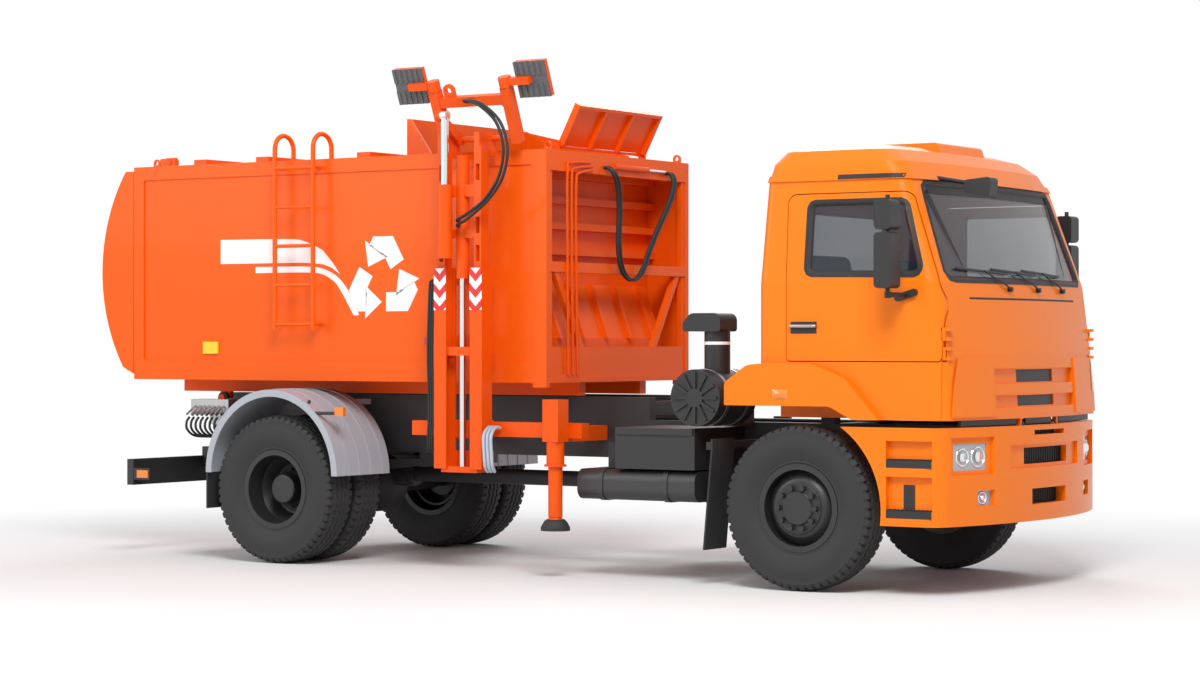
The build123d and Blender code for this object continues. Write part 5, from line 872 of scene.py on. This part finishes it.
@dataclass
class BodyMarkings:
    """White markings on the body's right wall: two stripes that sweep towards a loop of three arrows.

    Attributes:
        skin: the wall.
        bands: upper and lower edge of each stripe as (X, Z) rows.
        loop_centre: (X, Z) of the arrow loop.
        loop_radius: distance of the loop's corners from its centre.
        band: width of an arrow's band, as a share of that radius, like the next four.
        legs: where an arrow's band starts and ends, from its corner.
        mitre: distance of the bend's two ends from the corner.
        overlap: how far the head reaches back over the band.
        head_length: the head's length.
        head_width: the head's width, in widths of the band.
    """

    skin: Skin
    bands: tuple[tuple[Route, Route], ...] = (
        (((-2.50, 2.321), (-1.90, 2.315), (-1.73, 2.300), (-1.56, 2.235), (-1.52, 2.200), (-1.457, 2.138),
          (-1.395, 2.061)),
         ((-2.50, 2.144), (-1.90, 2.143), (-1.73, 2.142), (-1.56, 2.130), (-1.52, 2.120), (-1.461, 2.099),
          (-1.395, 2.058))),
        (((-2.168, 2.117), (-1.73, 2.115), (-1.56, 2.100), (-1.428, 2.047), (-1.336, 1.963), (-1.261, 1.858),
          (-1.219, 1.764)),
         ((-2.168, 2.073), (-1.73, 2.072), (-1.56, 2.060), (-1.445, 2.005), (-1.386, 1.942), (-1.328, 1.858),
          (-1.265, 1.760))),
    )
    loop_centre: tuple[float, float] = (-1.005, 2.015)
    loop_radius: float = 0.318
    band: float = 0.42
    legs: tuple[float, float] = (0.78, 0.40)
    mitre: float = 0.30
    overlap: float = 0.03
    head_length: float = 0.46
    head_width: float = 1.75

    def lay(self, shape: Shape, *edges: np.ndarray) -> None:
        """Add a band between two (X, Z) lines, just proud of the wall."""
        starts = (xyz(edge[:, 0], -ASIDE, edge[:, 1]) for edge in edges)
        self.skin.band(shape, starts, Side.RIGHT.inwards, SKIN, SKIN * 1.5)

    def arrow(self, shape: Shape, turn: float) -> None:
        """Add one bent arrow: a band along two sides of a triangle, mitred at the corner, and its head.

        Args:
            shape: gathers the arrow.
            turn: how far the arrow is turned about the loop's centre.
        """
        up, down = np.array([-0.5, math.sqrt(0.75)]), np.array([-0.5, -math.sqrt(0.75)])
        top, half = np.array([0.0, 1.0]), self.band / 2
        line = np.array([top - self.legs[0] * up, top - self.mitre * up, top + self.mitre * down,
                         top + self.legs[1] * down])
        normal = np.array([[up[1], -up[0]], [0.577, 1.0], [-0.577, 1.0], [down[1], -down[0]]])
        rotation = np.array([[math.cos(turn), -math.sin(turn)], [math.sin(turn), math.cos(turn)]])
        base = line[3] - self.overlap * down
        head = base + half * np.array([[self.head_width], [-self.head_width]]) * normal[3]
        tip = base + self.head_length * down
        for edges in ((line + half * normal, line - half * normal), ((head[0], tip), (head[1], tip))):
            self.lay(shape, *(np.array(self.loop_centre) + self.loop_radius * (np.array(edge) @ rotation.T)
                              for edge in edges))

    def build(self) -> None:
        """Make the markings."""
        shape = Shape()
        for edges in self.bands:
            self.lay(shape, *(smooth_line(edge, 60) for edge in edges))
        for third in range(3):
            self.arrow(shape, third * FULL_TURN / 3)
        shape.make("body_white_marking", "refuse_body", Finishes.WHITE)


@dataclass
class CabTrim:
    """Window seals, wipers, sun band, handles and lamps of the cab.

    Attributes:
        seal_edges: the rubber's inner edge, its step and its outer edge, from a pane's outline outwards.
        seal_lift: how far the rubber stands in front of the surface.
        seal_depth: the rubber's thickness.
        windscreen: the X between which the windscreen's vertices are.
        rear_window: the X between which the rear window's vertices are.
        wiper_pivots: (Y, Z) of the wipers' pivots.
        blade: a wiper blade's length.
        lamps_at: distance from the middle plane, Z and radius of each headlamp ring.
        slots: half width, bottom and top of each of the bumper's air slots.
    """

    frame: dict
    seal_edges: tuple[float, ...] = (-0.016, 0.0045, 0.026)
    seal_lift: float = 0.003
    seal_depth: float = 0.006
    windscreen: tuple[float, float] = (3.0, AHEAD)
    rear_window: tuple[float, float] = (0.0, 2.5)
    wiper_pivots: Route = ((-0.30, 1.905), (0.12, 1.905), (0.55, 1.905))
    blade: float = 0.62
    lamps_at: Route = ((0.815, 0.862, 0.060), (0.955, 0.862, 0.052), (0.775, 0.607, 0.036))
    slots: Route = ((0.345, 0.782, 0.922), (0.275, 0.530, 0.660), (0.245, 0.972, 1.025))

    def pane(self, node: str, axes: tuple[int, int], reach: tuple[float, float] = (0.0, AHEAD)) -> np.ndarray:
        """Outline of a pane, seen along the axis that is left out.

        Args:
            node: the glass node.
            axes: the two axes of the outline.
            reach: the X between which the pane's own vertices are.

        Returns:
            Array (96, 2).
        """
        points = np.array([vertex.co for vertex in self.frame["nodes"][node].data.vertices])
        own = (points[:, 0] > reach[0]) & (points[:, 0] < reach[1])
        return spread(hull(points[own][:, axes]), 96)

    def seal(self, shape: Shape, outline: np.ndarray, start: float, inwards: Point, skin: Skin) -> None:
        """Lay a rubber band round a pane.

        Args:
            shape: gathers the band.
            outline: the pane's outline.
            start: where the rays start on their axis.
            inwards: direction of the rays.
            skin: the surface that carries the band.
        """
        axis = int(np.argmax(np.abs(inwards)))
        edges = [skin.cast(np.insert(grown(outline, by), axis, start, axis=1), inwards, self.seal_lift)
                 for by in self.seal_edges]
        back = np.array(inwards) * self.seal_depth
        shape.grid(np.stack([*edges, *(edge + back for edge in edges[::-1])]), wrap_u=True, wrap_v=True)

    def seals(self) -> None:
        """Seal the windscreen, the rear window and both door windows."""
        shell = Skin(self.frame, "cab_body", "cab_roof", "cab_glass")
        shape = Shape()
        for reach, start, inwards in ((self.windscreen, AHEAD, BACKWARDS), (self.rear_window, 1.5, FORWARDS)):
            self.seal(shape, self.pane("cab_glass", (1, 2), reach), start, inwards, shell)
        shape.make("window_seals_cab", "cab", Finishes.RUBBER, smooth=True)
        for side in Side:
            door, glass = f"door_{side.word}", f"door_glass_{side.word}"
            shape = Shape()
            self.seal(shape, self.pane(glass, (0, 2)), side.value * ASIDE, side.inwards,
                      Skin(self.frame, door, glass))
            shape.make(f"window_seal_{door}", door, Finishes.RUBBER, smooth=True)

    def sun_band(self) -> None:
        """Darken a band along the windscreen's top edge."""
        top = self.pane("cab_glass", (1, 2), self.windscreen)[:, 1].max()
        y = np.linspace(-0.93, 0.93, 40)
        shape = Shape()
        edges = (xyz(AHEAD, y, top - depth) for depth in (0.008, 0.060))
        Skin(self.frame, "cab_glass").band(shape, edges, BACKWARDS, 0.0015, 0.001)
        shape.make("windscreen_sun_band", "cab", Finishes.RUBBER)

    def wipers(self) -> None:
        """Park three wipers along the windscreen's lower edge."""
        front = Skin(self.frame, "cab_body", "front_panel", "cab_glass")
        shape = Shape()

        def on_front(start: Sequence[float], end: Sequence[float], lift: float, count: int) -> np.ndarray:
            """Points of a straight (Y, Z) line laid on the cab's front."""
            return front.cast(xyz(AHEAD, *np.linspace(start, end, count).T), BACKWARDS, lift)

        half = self.blade / 2
        for y, z in self.wiper_pivots:
            grip = y - 0.26
            arm = on_front((y, z), (grip, z + 0.115), 0.022, 8)
            arm[:, 0] = np.maximum(arm[:, 0], np.linspace(arm[0, 0], arm[-1, 0], len(arm)))
            shape.tube(arm, 0.006)
            shape.tube(on_front((grip - half, z + 0.125), (grip + half, z + 0.098), 0.012, 24), 0.008)
            boss = on_front((y, z), (y, z + 0.001), 0.0, 2) + [[-0.01, 0, 0], [0.03, 0, 0]]
            shape.tube(boss, 0.016, 12)
        shape.make("wipers", "cab", Finishes.PLASTIC_BLACK, smooth=True)

    def seam(self) -> None:
        """Mark the front panel's upper joint and the gutter over the doors with dark lines."""
        front = Skin(self.frame, "front_panel", "cab_body", "cab_roof")
        shape = Shape()
        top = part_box("front_panel")[1].z
        y, x = np.linspace(-0.80, 0.80, 40), np.linspace(2.72, 3.17, 20)
        front.band(shape, (xyz(AHEAD, y, top - depth) for depth in (0.042, 0.030)), BACKWARDS, 0.001, 0.003)
        for side in Side:
            edges = (xyz(x, ASIDE * side.value, z) for z in (2.590, 2.618))
            front.band(shape, edges, side.inwards, 0.004, 0.008)
        shape.make("cab_dark_seams", "cab", Finishes.RUBBER)

    def handles(self) -> None:
        """Put a handle and its dark cup on each door."""
        for side in Side:
            door = f"door_{side.word}"
            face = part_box(door)[side is Side.LEFT].y
            out = face + 0.024 * side.value
            low, high = sorted((face - 0.004 * side.value, face + 0.002 * side.value))
            blocks(f"door_handle_cup_{side.word}", door, Finishes.PLASTIC_BLACK,
                   ((2.40, low, 1.625), (2.585, high, 1.70)))
            pipes(f"door_handle_grip_{side.word}", door, Finishes.STEEL, 0.011, 24,
                  [(x, y, 1.672) for x, y in ((2.405, face), (2.42, out), (2.565, out), (2.58, face))], sides=10)

    def mirror_glass(self) -> None:
        """Face each mirror head with silvered glass at its rear."""
        for side in Side:
            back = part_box(f"mirrors_{side.word}")[0].x
            low, high = side.span(1.31, 1.41)
            blocks(f"mirror_glass_{side.word}", f"door_{side.word}", Finishes.MIRROR,
                   *(((back - 0.0015, low, bottom), (back + 0.004, high, top))
                     for bottom, top in ((1.925, 2.215), (2.278, 2.42))))

    def headlamp_rings(self) -> None:
        """Show bright reflector rings and domes on the headlamps' lenses."""
        skin = Skin(self.frame, "headlamps")
        shape = Shape()
        steps = 28
        angle = np.append(turns(steps), 0.0)
        for y, z, radius in self.lamps_at:
            for side in Side:
                x, y_hit, _ = skin.cast(xyz(AHEAD, side.value * y, z), BACKWARDS, 0.002)
                circle = xyz(AHEAD, y_hit + radius * np.cos(angle), z + radius * np.sin(angle))
                shape.tube(skin.cast(circle, BACKWARDS, 0.001), 0.006)
                dome = ((TINY, 0.012), (0.5 * radius, 0.009), (0.62 * radius, 0.0))
                shape.turned(dome, (x, y_hit, z), steps, axis=0)
        shape.make("headlamp_rings", "chassis", Finishes.CHROME, smooth=True)

    def lamps(self) -> None:
        """Put side lamps on the wings and a turn lamp on the left front corner."""
        shape = Shape()
        skin = Skin(self.frame, "front_wings", "cab_body")
        x, z = np.linspace(2.298, 2.410, 6)[:, None], np.linspace(1.216, 1.274, 6)
        bulge = 0.018 * (1 - ((x - 2.354) / 0.06) ** 2) * (1 - ((z - 1.245) / 0.033) ** 2)
        for side in Side:
            face = skin.cast(xyz(x, ASIDE * side.value, z), side.inwards)
            face[..., 1] += side.value * bulge
            shape.grid(face)
        corner = xyz(AHEAD, np.linspace(1.015, 1.115, 6)[:, None], np.linspace(1.24, 1.49, 6))
        shape.grid(skin.cast(corner, BACKWARDS, 0.004))
        shape.make("cab_amber_lamps", "cab", Finishes.AMBER, smooth=True)

    def steps(self) -> None:
        """Cover the step treads with black grating."""
        boxes: list[Box] = []
        for side in Side:
            low, high = side.span(1.161, 1.2005)
            for top in (0.535, 0.845):
                boxes.append(((3.096, low, top - 0.046), (3.404, high, top + 0.003)))
                boxes += [((x, low, top), (x + 0.012, high, top + 0.009)) for x in np.linspace(3.105, 3.385, 11)]
            low, high = side.span(1.1575, 1.166)
            boxes.append(((3.20, low, 0.548), (3.275, high, 0.695)))
        blocks("step_grating", "chassis", Finishes.PLASTIC_BLACK, *boxes)

    def slot_backs(self) -> None:
        """Close the bumper's air slots with dark ribbed plates set behind its face."""
        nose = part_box("front_bumper")[1].x
        boxes: list[Box] = []
        for half, low, high in self.slots:
            boxes.append(((nose - 0.092, -half, low), (nose - 0.084, half, high)))
            boxes += [((nose - 0.085, y - 0.003, low), (nose - 0.079, y + 0.003, high))
                      for y in np.linspace(-half + 0.02, half - 0.02, 19)]
        blocks("bumper_slot_mesh", "chassis", Finishes.RUBBER, *boxes)

    def build(self) -> None:
        """Make all the cab's trim."""
        self.slot_backs()
        self.seals()
        self.sun_band()
        self.wipers()
        self.seam()
        self.handles()
        self.mirror_glass()
        self.headlamp_rings()
        self.lamps()
        self.steps()


@dataclass
class LoaderDressing:
    """Hazard boards, grip pads, hoses and pipes of the side loader.

    Attributes:
        mast_face: Y of the face that carries the hazard boards.
        post_lean: how far the grips' posts lean from the vertical, in degrees.
        pad_middle: the middle of the pads' backs, less their X, before they are raised along the posts.
        pad_rise: how far along a post the pads' middle is.
        pad_sunk: how far behind that middle the facing starts.
        pad_length: a pad's length in X.
        pad_depth: distance between the facings on a pad's two sides.
        facing: thickness of a facing, and of its ribs.
        loader_route: first loader hose, from the head to the carriage; the last rows are at the carriage.
        at_carriage: how many rows those are.
        front_route: first hose of the loop under the body's front beam.
        valves: fittings on the valve bank.
        valve_pitch: distance between them.
    """

    mast_face: float = -1.19
    post_lean: float = 22.0
    pad_middle: Point = (0.0, -1.010, 2.960)
    pad_rise: float = 0.395
    pad_sunk: float = 0.020
    pad_length: float = 0.25
    pad_depth: float = 0.032
    facing: tuple[float, float] = (0.003, 0.010)
    loader_route: Route = (
        (-0.110, -1.142, 3.205), (-0.107, -1.178, 3.205), (-0.084, -1.226, 3.205), (-0.036, -1.256, 3.200),
        (0.080, -1.278, 3.165), (0.215, -1.272, 3.045), (0.268, -1.262, 2.870), (0.225, -1.255, 2.680),
        (0.110, -1.258, 2.530), (-0.020, -1.260, 2.445), (-0.070, -1.256, 2.420), (-0.134, -1.230, 2.400),
        (-0.157, -1.190, 2.395), (-0.160, -1.168, 2.395))
    at_carriage: int = 5
    front_route: Route = (
        (0.388, -0.208, 2.790), (0.425, -0.200, 2.783), (0.452, -0.178, 2.735), (0.450, -0.135, 2.650),
        (0.440, -0.105, 2.485), (0.440, -0.115, 2.250), (0.440, -0.075, 2.090), (0.440, 0.020, 2.015),
        (0.440, 0.130, 2.025), (0.440, 0.215, 2.100), (0.440, 0.285, 2.215), (0.440, 0.390, 2.360),
        (0.445, 0.520, 2.530), (0.452, 0.590, 2.650), (0.450, 0.610, 2.735), (0.425, 0.612, 2.783),
        (0.388, 0.612, 2.790))
    valves: int = 7
    valve_pitch: float = 0.045

    def hazard_boards(self) -> None:
        """Fix red and white chevron boards to the mast's rails."""
        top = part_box("loader_mast")[1].z
        low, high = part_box("carriage")
        blocks("mast_hazard_boards", "chassis", Finishes.HAZARD,
               *(((x, self.mast_face - 0.003, top - 0.29), (x + 0.10, self.mast_face + 0.001, top - 0.005))
                 for x in (high.x - 0.082, low.x - 0.018)))

    def pads(self) -> None:
        """Face each grip pad with grey ribbed rubber, in the leaning plane of its post."""
        lean = math.radians(self.post_lean)
        out = np.array([0.0, -math.cos(lean), -math.sin(lean)])
        rise = np.array([0.0, -math.sin(lean), math.cos(lean)])
        origin = np.array(self.pad_middle) + rise * self.pad_rise - out * self.pad_sunk
        sheet, rib = self.facing
        for name, sign in (("front", 1), ("rear", -1)):
            low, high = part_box(f"grip_arm_{name}")
            outer = high.x if sign > 0 else low.x

            def outline(start: float, end: float, bottom: float, top: float) -> np.ndarray:
                """Corners of a rectangle between distances from the outer edge and heights on the post."""
                first, last = outer - sign * start, outer - sign * end
                rows = ((first, bottom), (last, bottom), (last, top), (first, top))
                return np.array([np.array([x, 0.0, 0.0]) + origin + rise * height for x, height in rows])

            shape = Shape()
            span = np.linspace(0, self.pad_length, 12)
            for start, end in zip(span[::2], span[1::2]):
                for bottom, top in ((-0.125, -0.028), (0.028, 0.125)):
                    shape.plate(outline(start, end, bottom, top), out * rib)
            back = outline(0.0, self.pad_length, -0.126, 0.126)
            shape.plate(back, out * sheet)
            shape.plate(back - out * self.pad_depth, -out * sheet)
            shape.make(f"grip_pad_{name}", f"grip_{name}", Finishes.PAD)

    def hoses(self) -> None:
        """Hang two hydraulic hoses from the tipping head to the carriage, side by side, then one over the other."""
        table = np.array(self.loader_route)
        aside = np.where(np.arange(len(table))[:, None] < len(table) - self.at_carriage, FORWARDS, (0, 0, -1))
        for index, shift in enumerate((0.0, 0.034)):
            route = smooth_line(table + shift * aside, 110)
            obj = Shape().tube(route, 0.011, 10).make(f"loader_hose_{index + 1}", None, Finishes.HOSE, smooth=True)
            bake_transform(obj)

    def fixed_pipes(self) -> None:
        """Run rigid pipes on the mast's foot, the outrigger and the body's front."""
        feet = [[(x, -1.078, 0.99), (x, -1.13, 0.995), (x + 0.02, -1.215, 0.94), (x + 0.03, -1.225, 0.82),
                 (x + 0.03, -1.215, 0.74), (x + 0.01, -1.16, 0.70), (0.034, end, 0.697)]
                for x, end in ((0.055, -1.10), (0.085, -1.075), (0.115, -1.05))]
        pipes("mast_foot_pipes", "chassis", Finishes.PALE_HOSE, 0.011, 40, *feet)
        pipes("outrigger_pipe", "chassis", Finishes.HOSE, 0.010, 24,
              [(0.553, -1.165, 1.12), (0.535, -1.165, 1.12), (0.522, -1.14, 1.05), (0.53, -1.06, 0.99)])
        lines = (((-0.40, 2.815), (-0.64, 2.80), (-0.686, 2.74), (-0.686, 2.12), (-0.673, 1.35)),
                 ((-0.374, 2.79), (-0.59, 2.765), (-0.632, 2.69), (-0.632, 2.12), (-0.613, 1.35)),
                 ((-0.374, 2.765), (-0.54, 2.735), (-0.578, 2.66), (-0.578, 2.12), (-0.559, 1.35)))
        pipes("body_front_pipes", "refuse_body", Finishes.LOADER_ORANGE, 0.010, 70,
              *([(0.400, y, z) for y, z in line] for line in lines))
        for name, finish, start, end, radius, sides in (
                ("flap_cylinder", Finishes.LOADER_ORANGE, -0.10, 0.34, 0.021, 16),
                ("flap_cylinder_rod", Finishes.CHROME, 0.33, 0.58, 0.010, 12)):
            barrel = Shape().tube([(0.404, start, 2.80), (0.404, end, 2.80)], radius, sides)
            barrel.make(name, "refuse_body", finish, smooth=True)

    def front_hoses(self) -> None:
        """Hang two hoses in a loop from the body's upper front beam."""
        for index, shift in enumerate((0.0, 0.036)):
            route = smooth_line(np.array(self.front_route) + [0.0, shift, 0.0], 130)
            obj = Shape().tube(route, 0.012, 10).make(f"front_hose_{index + 1}", "refuse_body", Finishes.HOSE,
                                                      smooth=True)

    def foot(self) -> None:
        """Shoe the outrigger's foot with black rubber."""
        low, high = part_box("outrigger_leg")
        radius = (high.x - low.x) / 2 + 0.003
        profile = ((TINY, -0.001), (radius, -0.001), (radius, 0.022), (0.075, 0.062), (0.058, 0.075))
        x, y, _ = middle("outrigger_leg")
        shape = Shape().turned(profile, (x, y, low.z), 40, axis=2)
        shape.make("outrigger_shoe", "outrigger", Finishes.TYRE)

    def mast_pipes(self) -> None:
        """Run a bundle of dark pipes down the mast's rear rail."""
        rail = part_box("carriage")[0].x - 0.032
        pipes("mast_pipes", "chassis", Finishes.HOSE, 0.0085, 70,
              *([(x, -1.10, 1.995), (x, -1.15, 1.99), (x, -1.172, 1.94), (x - 0.01, -1.178, 1.5),
                 (x, -1.178, 1.1), (x - 0.015, -1.172, 0.86), (x - 0.02, -1.10, 0.80)]
                for x in (rail, rail - 0.018, rail - 0.036)))

    def valve_pipes(self) -> None:
        """Lead a bent pipe from each fitting of the valve bank down to the rail."""
        places = middle("valve_bank")[0] + self.valve_pitch * (np.arange(self.valves) - self.valves // 2)
        pipes("valve_pipes", "chassis", Finishes.HOSE, 0.009, 40,
              *([(x, -0.93, 1.018), (x, -0.96, 0.985), (x, -0.955, 0.93), (x + 0.01, -0.88, 0.88),
                 (x + 0.02, -0.70, 0.87), (x + 0.02, -0.44, 0.87)] for x in places))
        fittings = Shape()
        for x in places:
            fittings.tube([(x, -0.855, 1.063), (x, -0.90, 1.036)], 0.014, 6)
        fittings.make("valve_fittings", "chassis", Finishes.CHROME)

    def build(self) -> None:
        """Make the loader's dressing."""
        self.hazard_boards()
        self.pads()
        self.hoses()
        self.fixed_pipes()
        self.front_hoses()
        self.foot()
        self.mast_pipes()
        self.valve_pipes()


@dataclass
class ChassisDressing:
    """Lamps, reflectors, flaps and bands along the chassis and body.

    Attributes:
        hooks_at: distance of the tailgate's hooks from the middle plane.
        hook_half: half a hook's width.
        cleaner_radius: radius of the air cleaner's straps.
        intake: (X, Y) of the raised intake's axis.
        intake_radius: inner and outer radius of its band.
    """

    hooks_at: float = 0.86
    hook_half: float = 0.012
    cleaner_radius: tuple[float, float] = (0.1845, 0.1885)
    intake: tuple[float, float] = (1.686, -0.85)
    intake_radius: tuple[float, float] = (0.0845, 0.0865)

    def reflectors(self) -> None:
        """Place the reflectors, a side lamp and the blank plate on the right side."""
        blocks("wall_red_reflector", "refuse_body", Finishes.RED_LENS,
               ((-0.632, -0.937, 1.562), (-0.540, -0.929, 1.602)))
        blocks("wall_blank_plate", "refuse_body", Finishes.YELLOW, ((-2.66, -0.934, 1.487), (-2.52, -0.917, 1.575)))
        blocks("guard_lamp", "chassis", Finishes.AMBER, ((-1.18, -1.245, 1.056), (-1.105, -1.215, 1.118)))
        pipes("guard_lamp_bracket", "chassis", Finishes.FRAME_BLACK, 0.012, 30,
              [(-1.44, -1.20, 1.16), (-1.44, -1.23, 1.10), (-1.40, -1.232, 1.075), (-1.18, -1.232, 1.075)])
        blocks("underrun_side_reflector", "chassis", Finishes.AMBER, ((-3.06, -1.206, 0.575), (-2.955, -1.196, 0.631)))
        blocks("underrun_reflector_bracket", "chassis", Finishes.FRAME_BLACK,
               ((-3.105, -1.197, 0.56), (-2.945, -1.187, 0.645)))

    def tail_lamps(self) -> None:
        """Put a red and amber lamp cluster at each end of the underrun bar."""
        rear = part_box("underrun_bar")[0].x
        for side in Side:
            for kind, finish, near, far in (("red", Finishes.RED_LENS, 0.86, 1.03),
                                            ("amber", Finishes.AMBER, 1.035, 1.14)):
                low, high = side.span(near, far)
                blocks(f"tail_lamp_{kind}_{side.word}", "chassis", finish,
                       ((rear - 0.028, low, 0.555), (rear + 0.001, high, 0.675)))

    def flaps(self) -> None:
        """Hang a rubber flap behind each rear wheel and put hooks on the tailgate."""
        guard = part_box("rear_mudguards")[0]
        flaps, hooks = [], []
        for side in (Side.RIGHT, Side.LEFT):
            low, high = side.span(0.66, 1.235)
            flaps.append(((guard.x + 0.002, low, 0.375), (guard.x + 0.014, high, guard.z + 0.01)))
            low, high = side.span(self.hooks_at - self.hook_half, self.hooks_at + self.hook_half)
            hooks += [((-3.46, low, 1.36), (-3.36, high, 1.40)), ((-3.39, low, 1.34), (-3.36, high, 1.365))]
        blocks("rear_mudflaps", "chassis", Finishes.TYRE, *flaps)
        blocks("tailgate_hooks", "tailgate", Finishes.FRAME_BLACK, *hooks)

    def bands(self) -> None:
        """Clamp straps round the air cleaner, a pale band round its intake and a cap on the fuel tank."""
        inner, outer = self.cleaner_radius
        centre = (middle("air_cleaner")[0], 0.0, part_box("air_cleaner")[0].z + 0.196)
        shape = Shape()
        for y in (-0.98, -0.72):
            low, high = y - 0.015, y + 0.015
            shape.turned(((inner, low), (outer, low), (outer, high), (inner, high)), centre, 48)
        shape.make("air_cleaner_straps", "chassis", Finishes.STEEL, smooth=True)
        cap = Shape().tube([(1.25, 0.80, 0.995), (1.25, 0.80, 1.045)], 0.065, 24)
        cap.make("fuel_cap", "chassis", Finishes.PLASTIC_BLACK, smooth=True)
        inner, outer = self.intake_radius
        low, high = 1.555, 1.575
        band = Shape().turned(((outer, low), (outer, high), (inner, high), (inner, low)), (*self.intake, 0.0), 39,
                              axis=2, closed=True)
        band.make("intake_band", "chassis", Finishes.WHITE)

    def build(self) -> None:
        """Make the chassis' dressing."""
        self.reflectors()
        self.tail_lamps()
        self.flaps()
        self.bands()


@dataclass
class Studio:
    """Pale floor, white surroundings, soft lamps and the camera.

    Attributes:
        camera_at: where the camera stands.
        heading: direction of view from +X, in degrees.
        tilt: upward pitch of the view, in degrees.
        lens: focal length for a 36 mm wide sensor.
        floor_radius: radius of the floor disc.
        fade_from: distance from the origin where the floor starts to fade.
        fade: how fast it fades, per metre.
        sky: colour and strength of the light from all round.
        lamps_at: each lamp's name, place, size and power.
        lit: the point that the lamps face.
    """

    camera_at: Point = (10.9275, -16.4884, 1.5705)
    heading: float = 123.0
    tilt: float = 0.0988
    lens: float = 83.33
    floor_radius: float = 60.0
    fade_from: float = 4.5
    fade: float = 0.28
    sky: tuple[Colour, float] = ((0.95, 0.97, 1.0), 0.46)
    lamps_at: tuple[tuple[str, Point, float, float], ...] = (
        ("key", (7.0, -9.0, 11.0), 5.0, 1500.0), ("fill", (-8.0, -10.0, 6.0), 7.0, 420.0),
        ("rim", (-4.0, 10.0, 10.0), 6.0, 600.0))
    lit: Point = (0.0, 0.0, 1.4)

    def stand(self, name: str, data: bpy.types.ID, place: Point, view: Vector) -> bpy.types.Object:
        """Stand a camera or lamp at a place.

        Args:
            name: the object's name.
            data: the camera or lamp.
            place: where it stands.
            view: the direction that it faces.

        Returns:
            The new object.
        """
        obj = bpy.data.objects.new(name, data)
        bpy.context.scene.collection.objects.link(obj)
        obj.location = place
        obj.rotation_mode = "QUATERNION"
        obj.rotation_quaternion = view.to_track_quat("-Z", "Y")
        return obj

    def camera(self) -> None:
        """Stand the camera where the photographer stood."""
        data = bpy.data.cameras.new("camera")
        data.lens, data.sensor_width, data.clip_end = self.lens, 36.0, 400.0
        yaw, pitch = math.radians(self.heading), math.radians(self.tilt)
        view = Vector((math.cos(yaw) * math.cos(pitch), math.sin(yaw) * math.cos(pitch), math.sin(pitch)))
        bpy.context.scene.camera = self.stand("camera", data, self.camera_at, view)

    def floor(self) -> None:
        """Lay a pale floor that fades into the white surroundings."""
        shader = Shader("pale floor")
        shader.set(Base_Color=rgba((0.86, 0.86, 0.86)), Roughness=0.9)
        white = shader.node("ShaderNodeEmission", {}, {"Color": rgba(WHITE_LIGHT), "Strength": 1.0})
        reach = shader.node("ShaderNodeVectorMath", {"operation": "LENGTH"}, {0: shader.place()}, "Value")
        far = ((reach - self.fade_from) * self.fade).clamped()
        near = Sock(shader, shader.principled.outputs[0])
        mixed = shader.node("ShaderNodeMixShader", {}, {0: far * shader.seen(), 1: near, 2: white})
        shader.feed(shader.output.inputs["Surface"], mixed)
        angle = turns(64)
        rim = xyz(np.cos(angle), np.sin(angle), 0.0) * self.floor_radius
        mesh = bpy.data.meshes.new("floor")
        mesh.from_pydata(rim.tolist(), [], [list(range(len(rim)))])
        mesh.materials.append(shader.material)
        obj = bpy.data.objects.new("floor", mesh)
        bpy.context.scene.collection.objects.link(obj)

    def surroundings(self) -> None:
        """Light the truck softly from all round, and show white behind it."""
        world = bpy.data.worlds.new("studio")
        bpy.context.scene.world = world
        world.use_nodes = True
        nodes = Nodes(world.node_tree)
        nodes.tree.nodes.clear()
        output = nodes.tree.nodes.new("ShaderNodeOutputWorld")
        soft, white = (nodes.node("ShaderNodeBackground", {}, {"Color": rgba(colour), "Strength": strength})
                       for colour, strength in (self.sky, (WHITE_LIGHT, 1.0)))
        mixed = nodes.node("ShaderNodeMixShader", {}, {0: nodes.seen(), 1: soft, 2: white})
        nodes.feed(output.inputs[0], mixed)

    def lamps(self) -> None:
        """Hang a large key lamp ahead on the right, a fill lamp behind it and a rim lamp on the left."""
        for name, place, size, power in self.lamps_at:
            data = bpy.data.lights.new(name, "AREA")
            data.size, data.energy = size, power
            obj = self.stand(name, data, place, Vector(self.lit) - Vector(place))

    def build(self) -> None:
        """Set up the whole studio."""
        bpy.context.scene.view_settings.view_transform = "Standard"
        self.camera()
        self.floor()
        self.surroundings()
        self.lamps()


def paint_frame(frame: dict) -> None:
    """Give every node of the frame its slot's finish.
    """
    slots = {part["node"]: part["material_slot"] for part in frame["record"]["subparts"]}
    for name, obj in frame["nodes"].items():
        obj.data.materials.clear()
        obj.data.materials.append(Finishes[slots[name].upper()].material())
    LOG.info("painted %d nodes", len(frame["nodes"]))


def main() -> None:
    """Load the frame, dress it and set the studio round it."""
    logging.basicConfig(level=logging.INFO, format="%(name)s: %(message)s")
    for obj in list(bpy.data.objects):
        bpy.data.objects.remove(obj)
    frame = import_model()
    paint_frame(frame)
    Tyres().build()
    WheelNuts().build()
    BodyMarkings(Skin(frame, "body_wall_right")).build()
    CabTrim(frame).build()
    LoaderDressing().build()
    ChassisDressing().build()
    Studio().build()


if __name__ == "__main__":
    main()
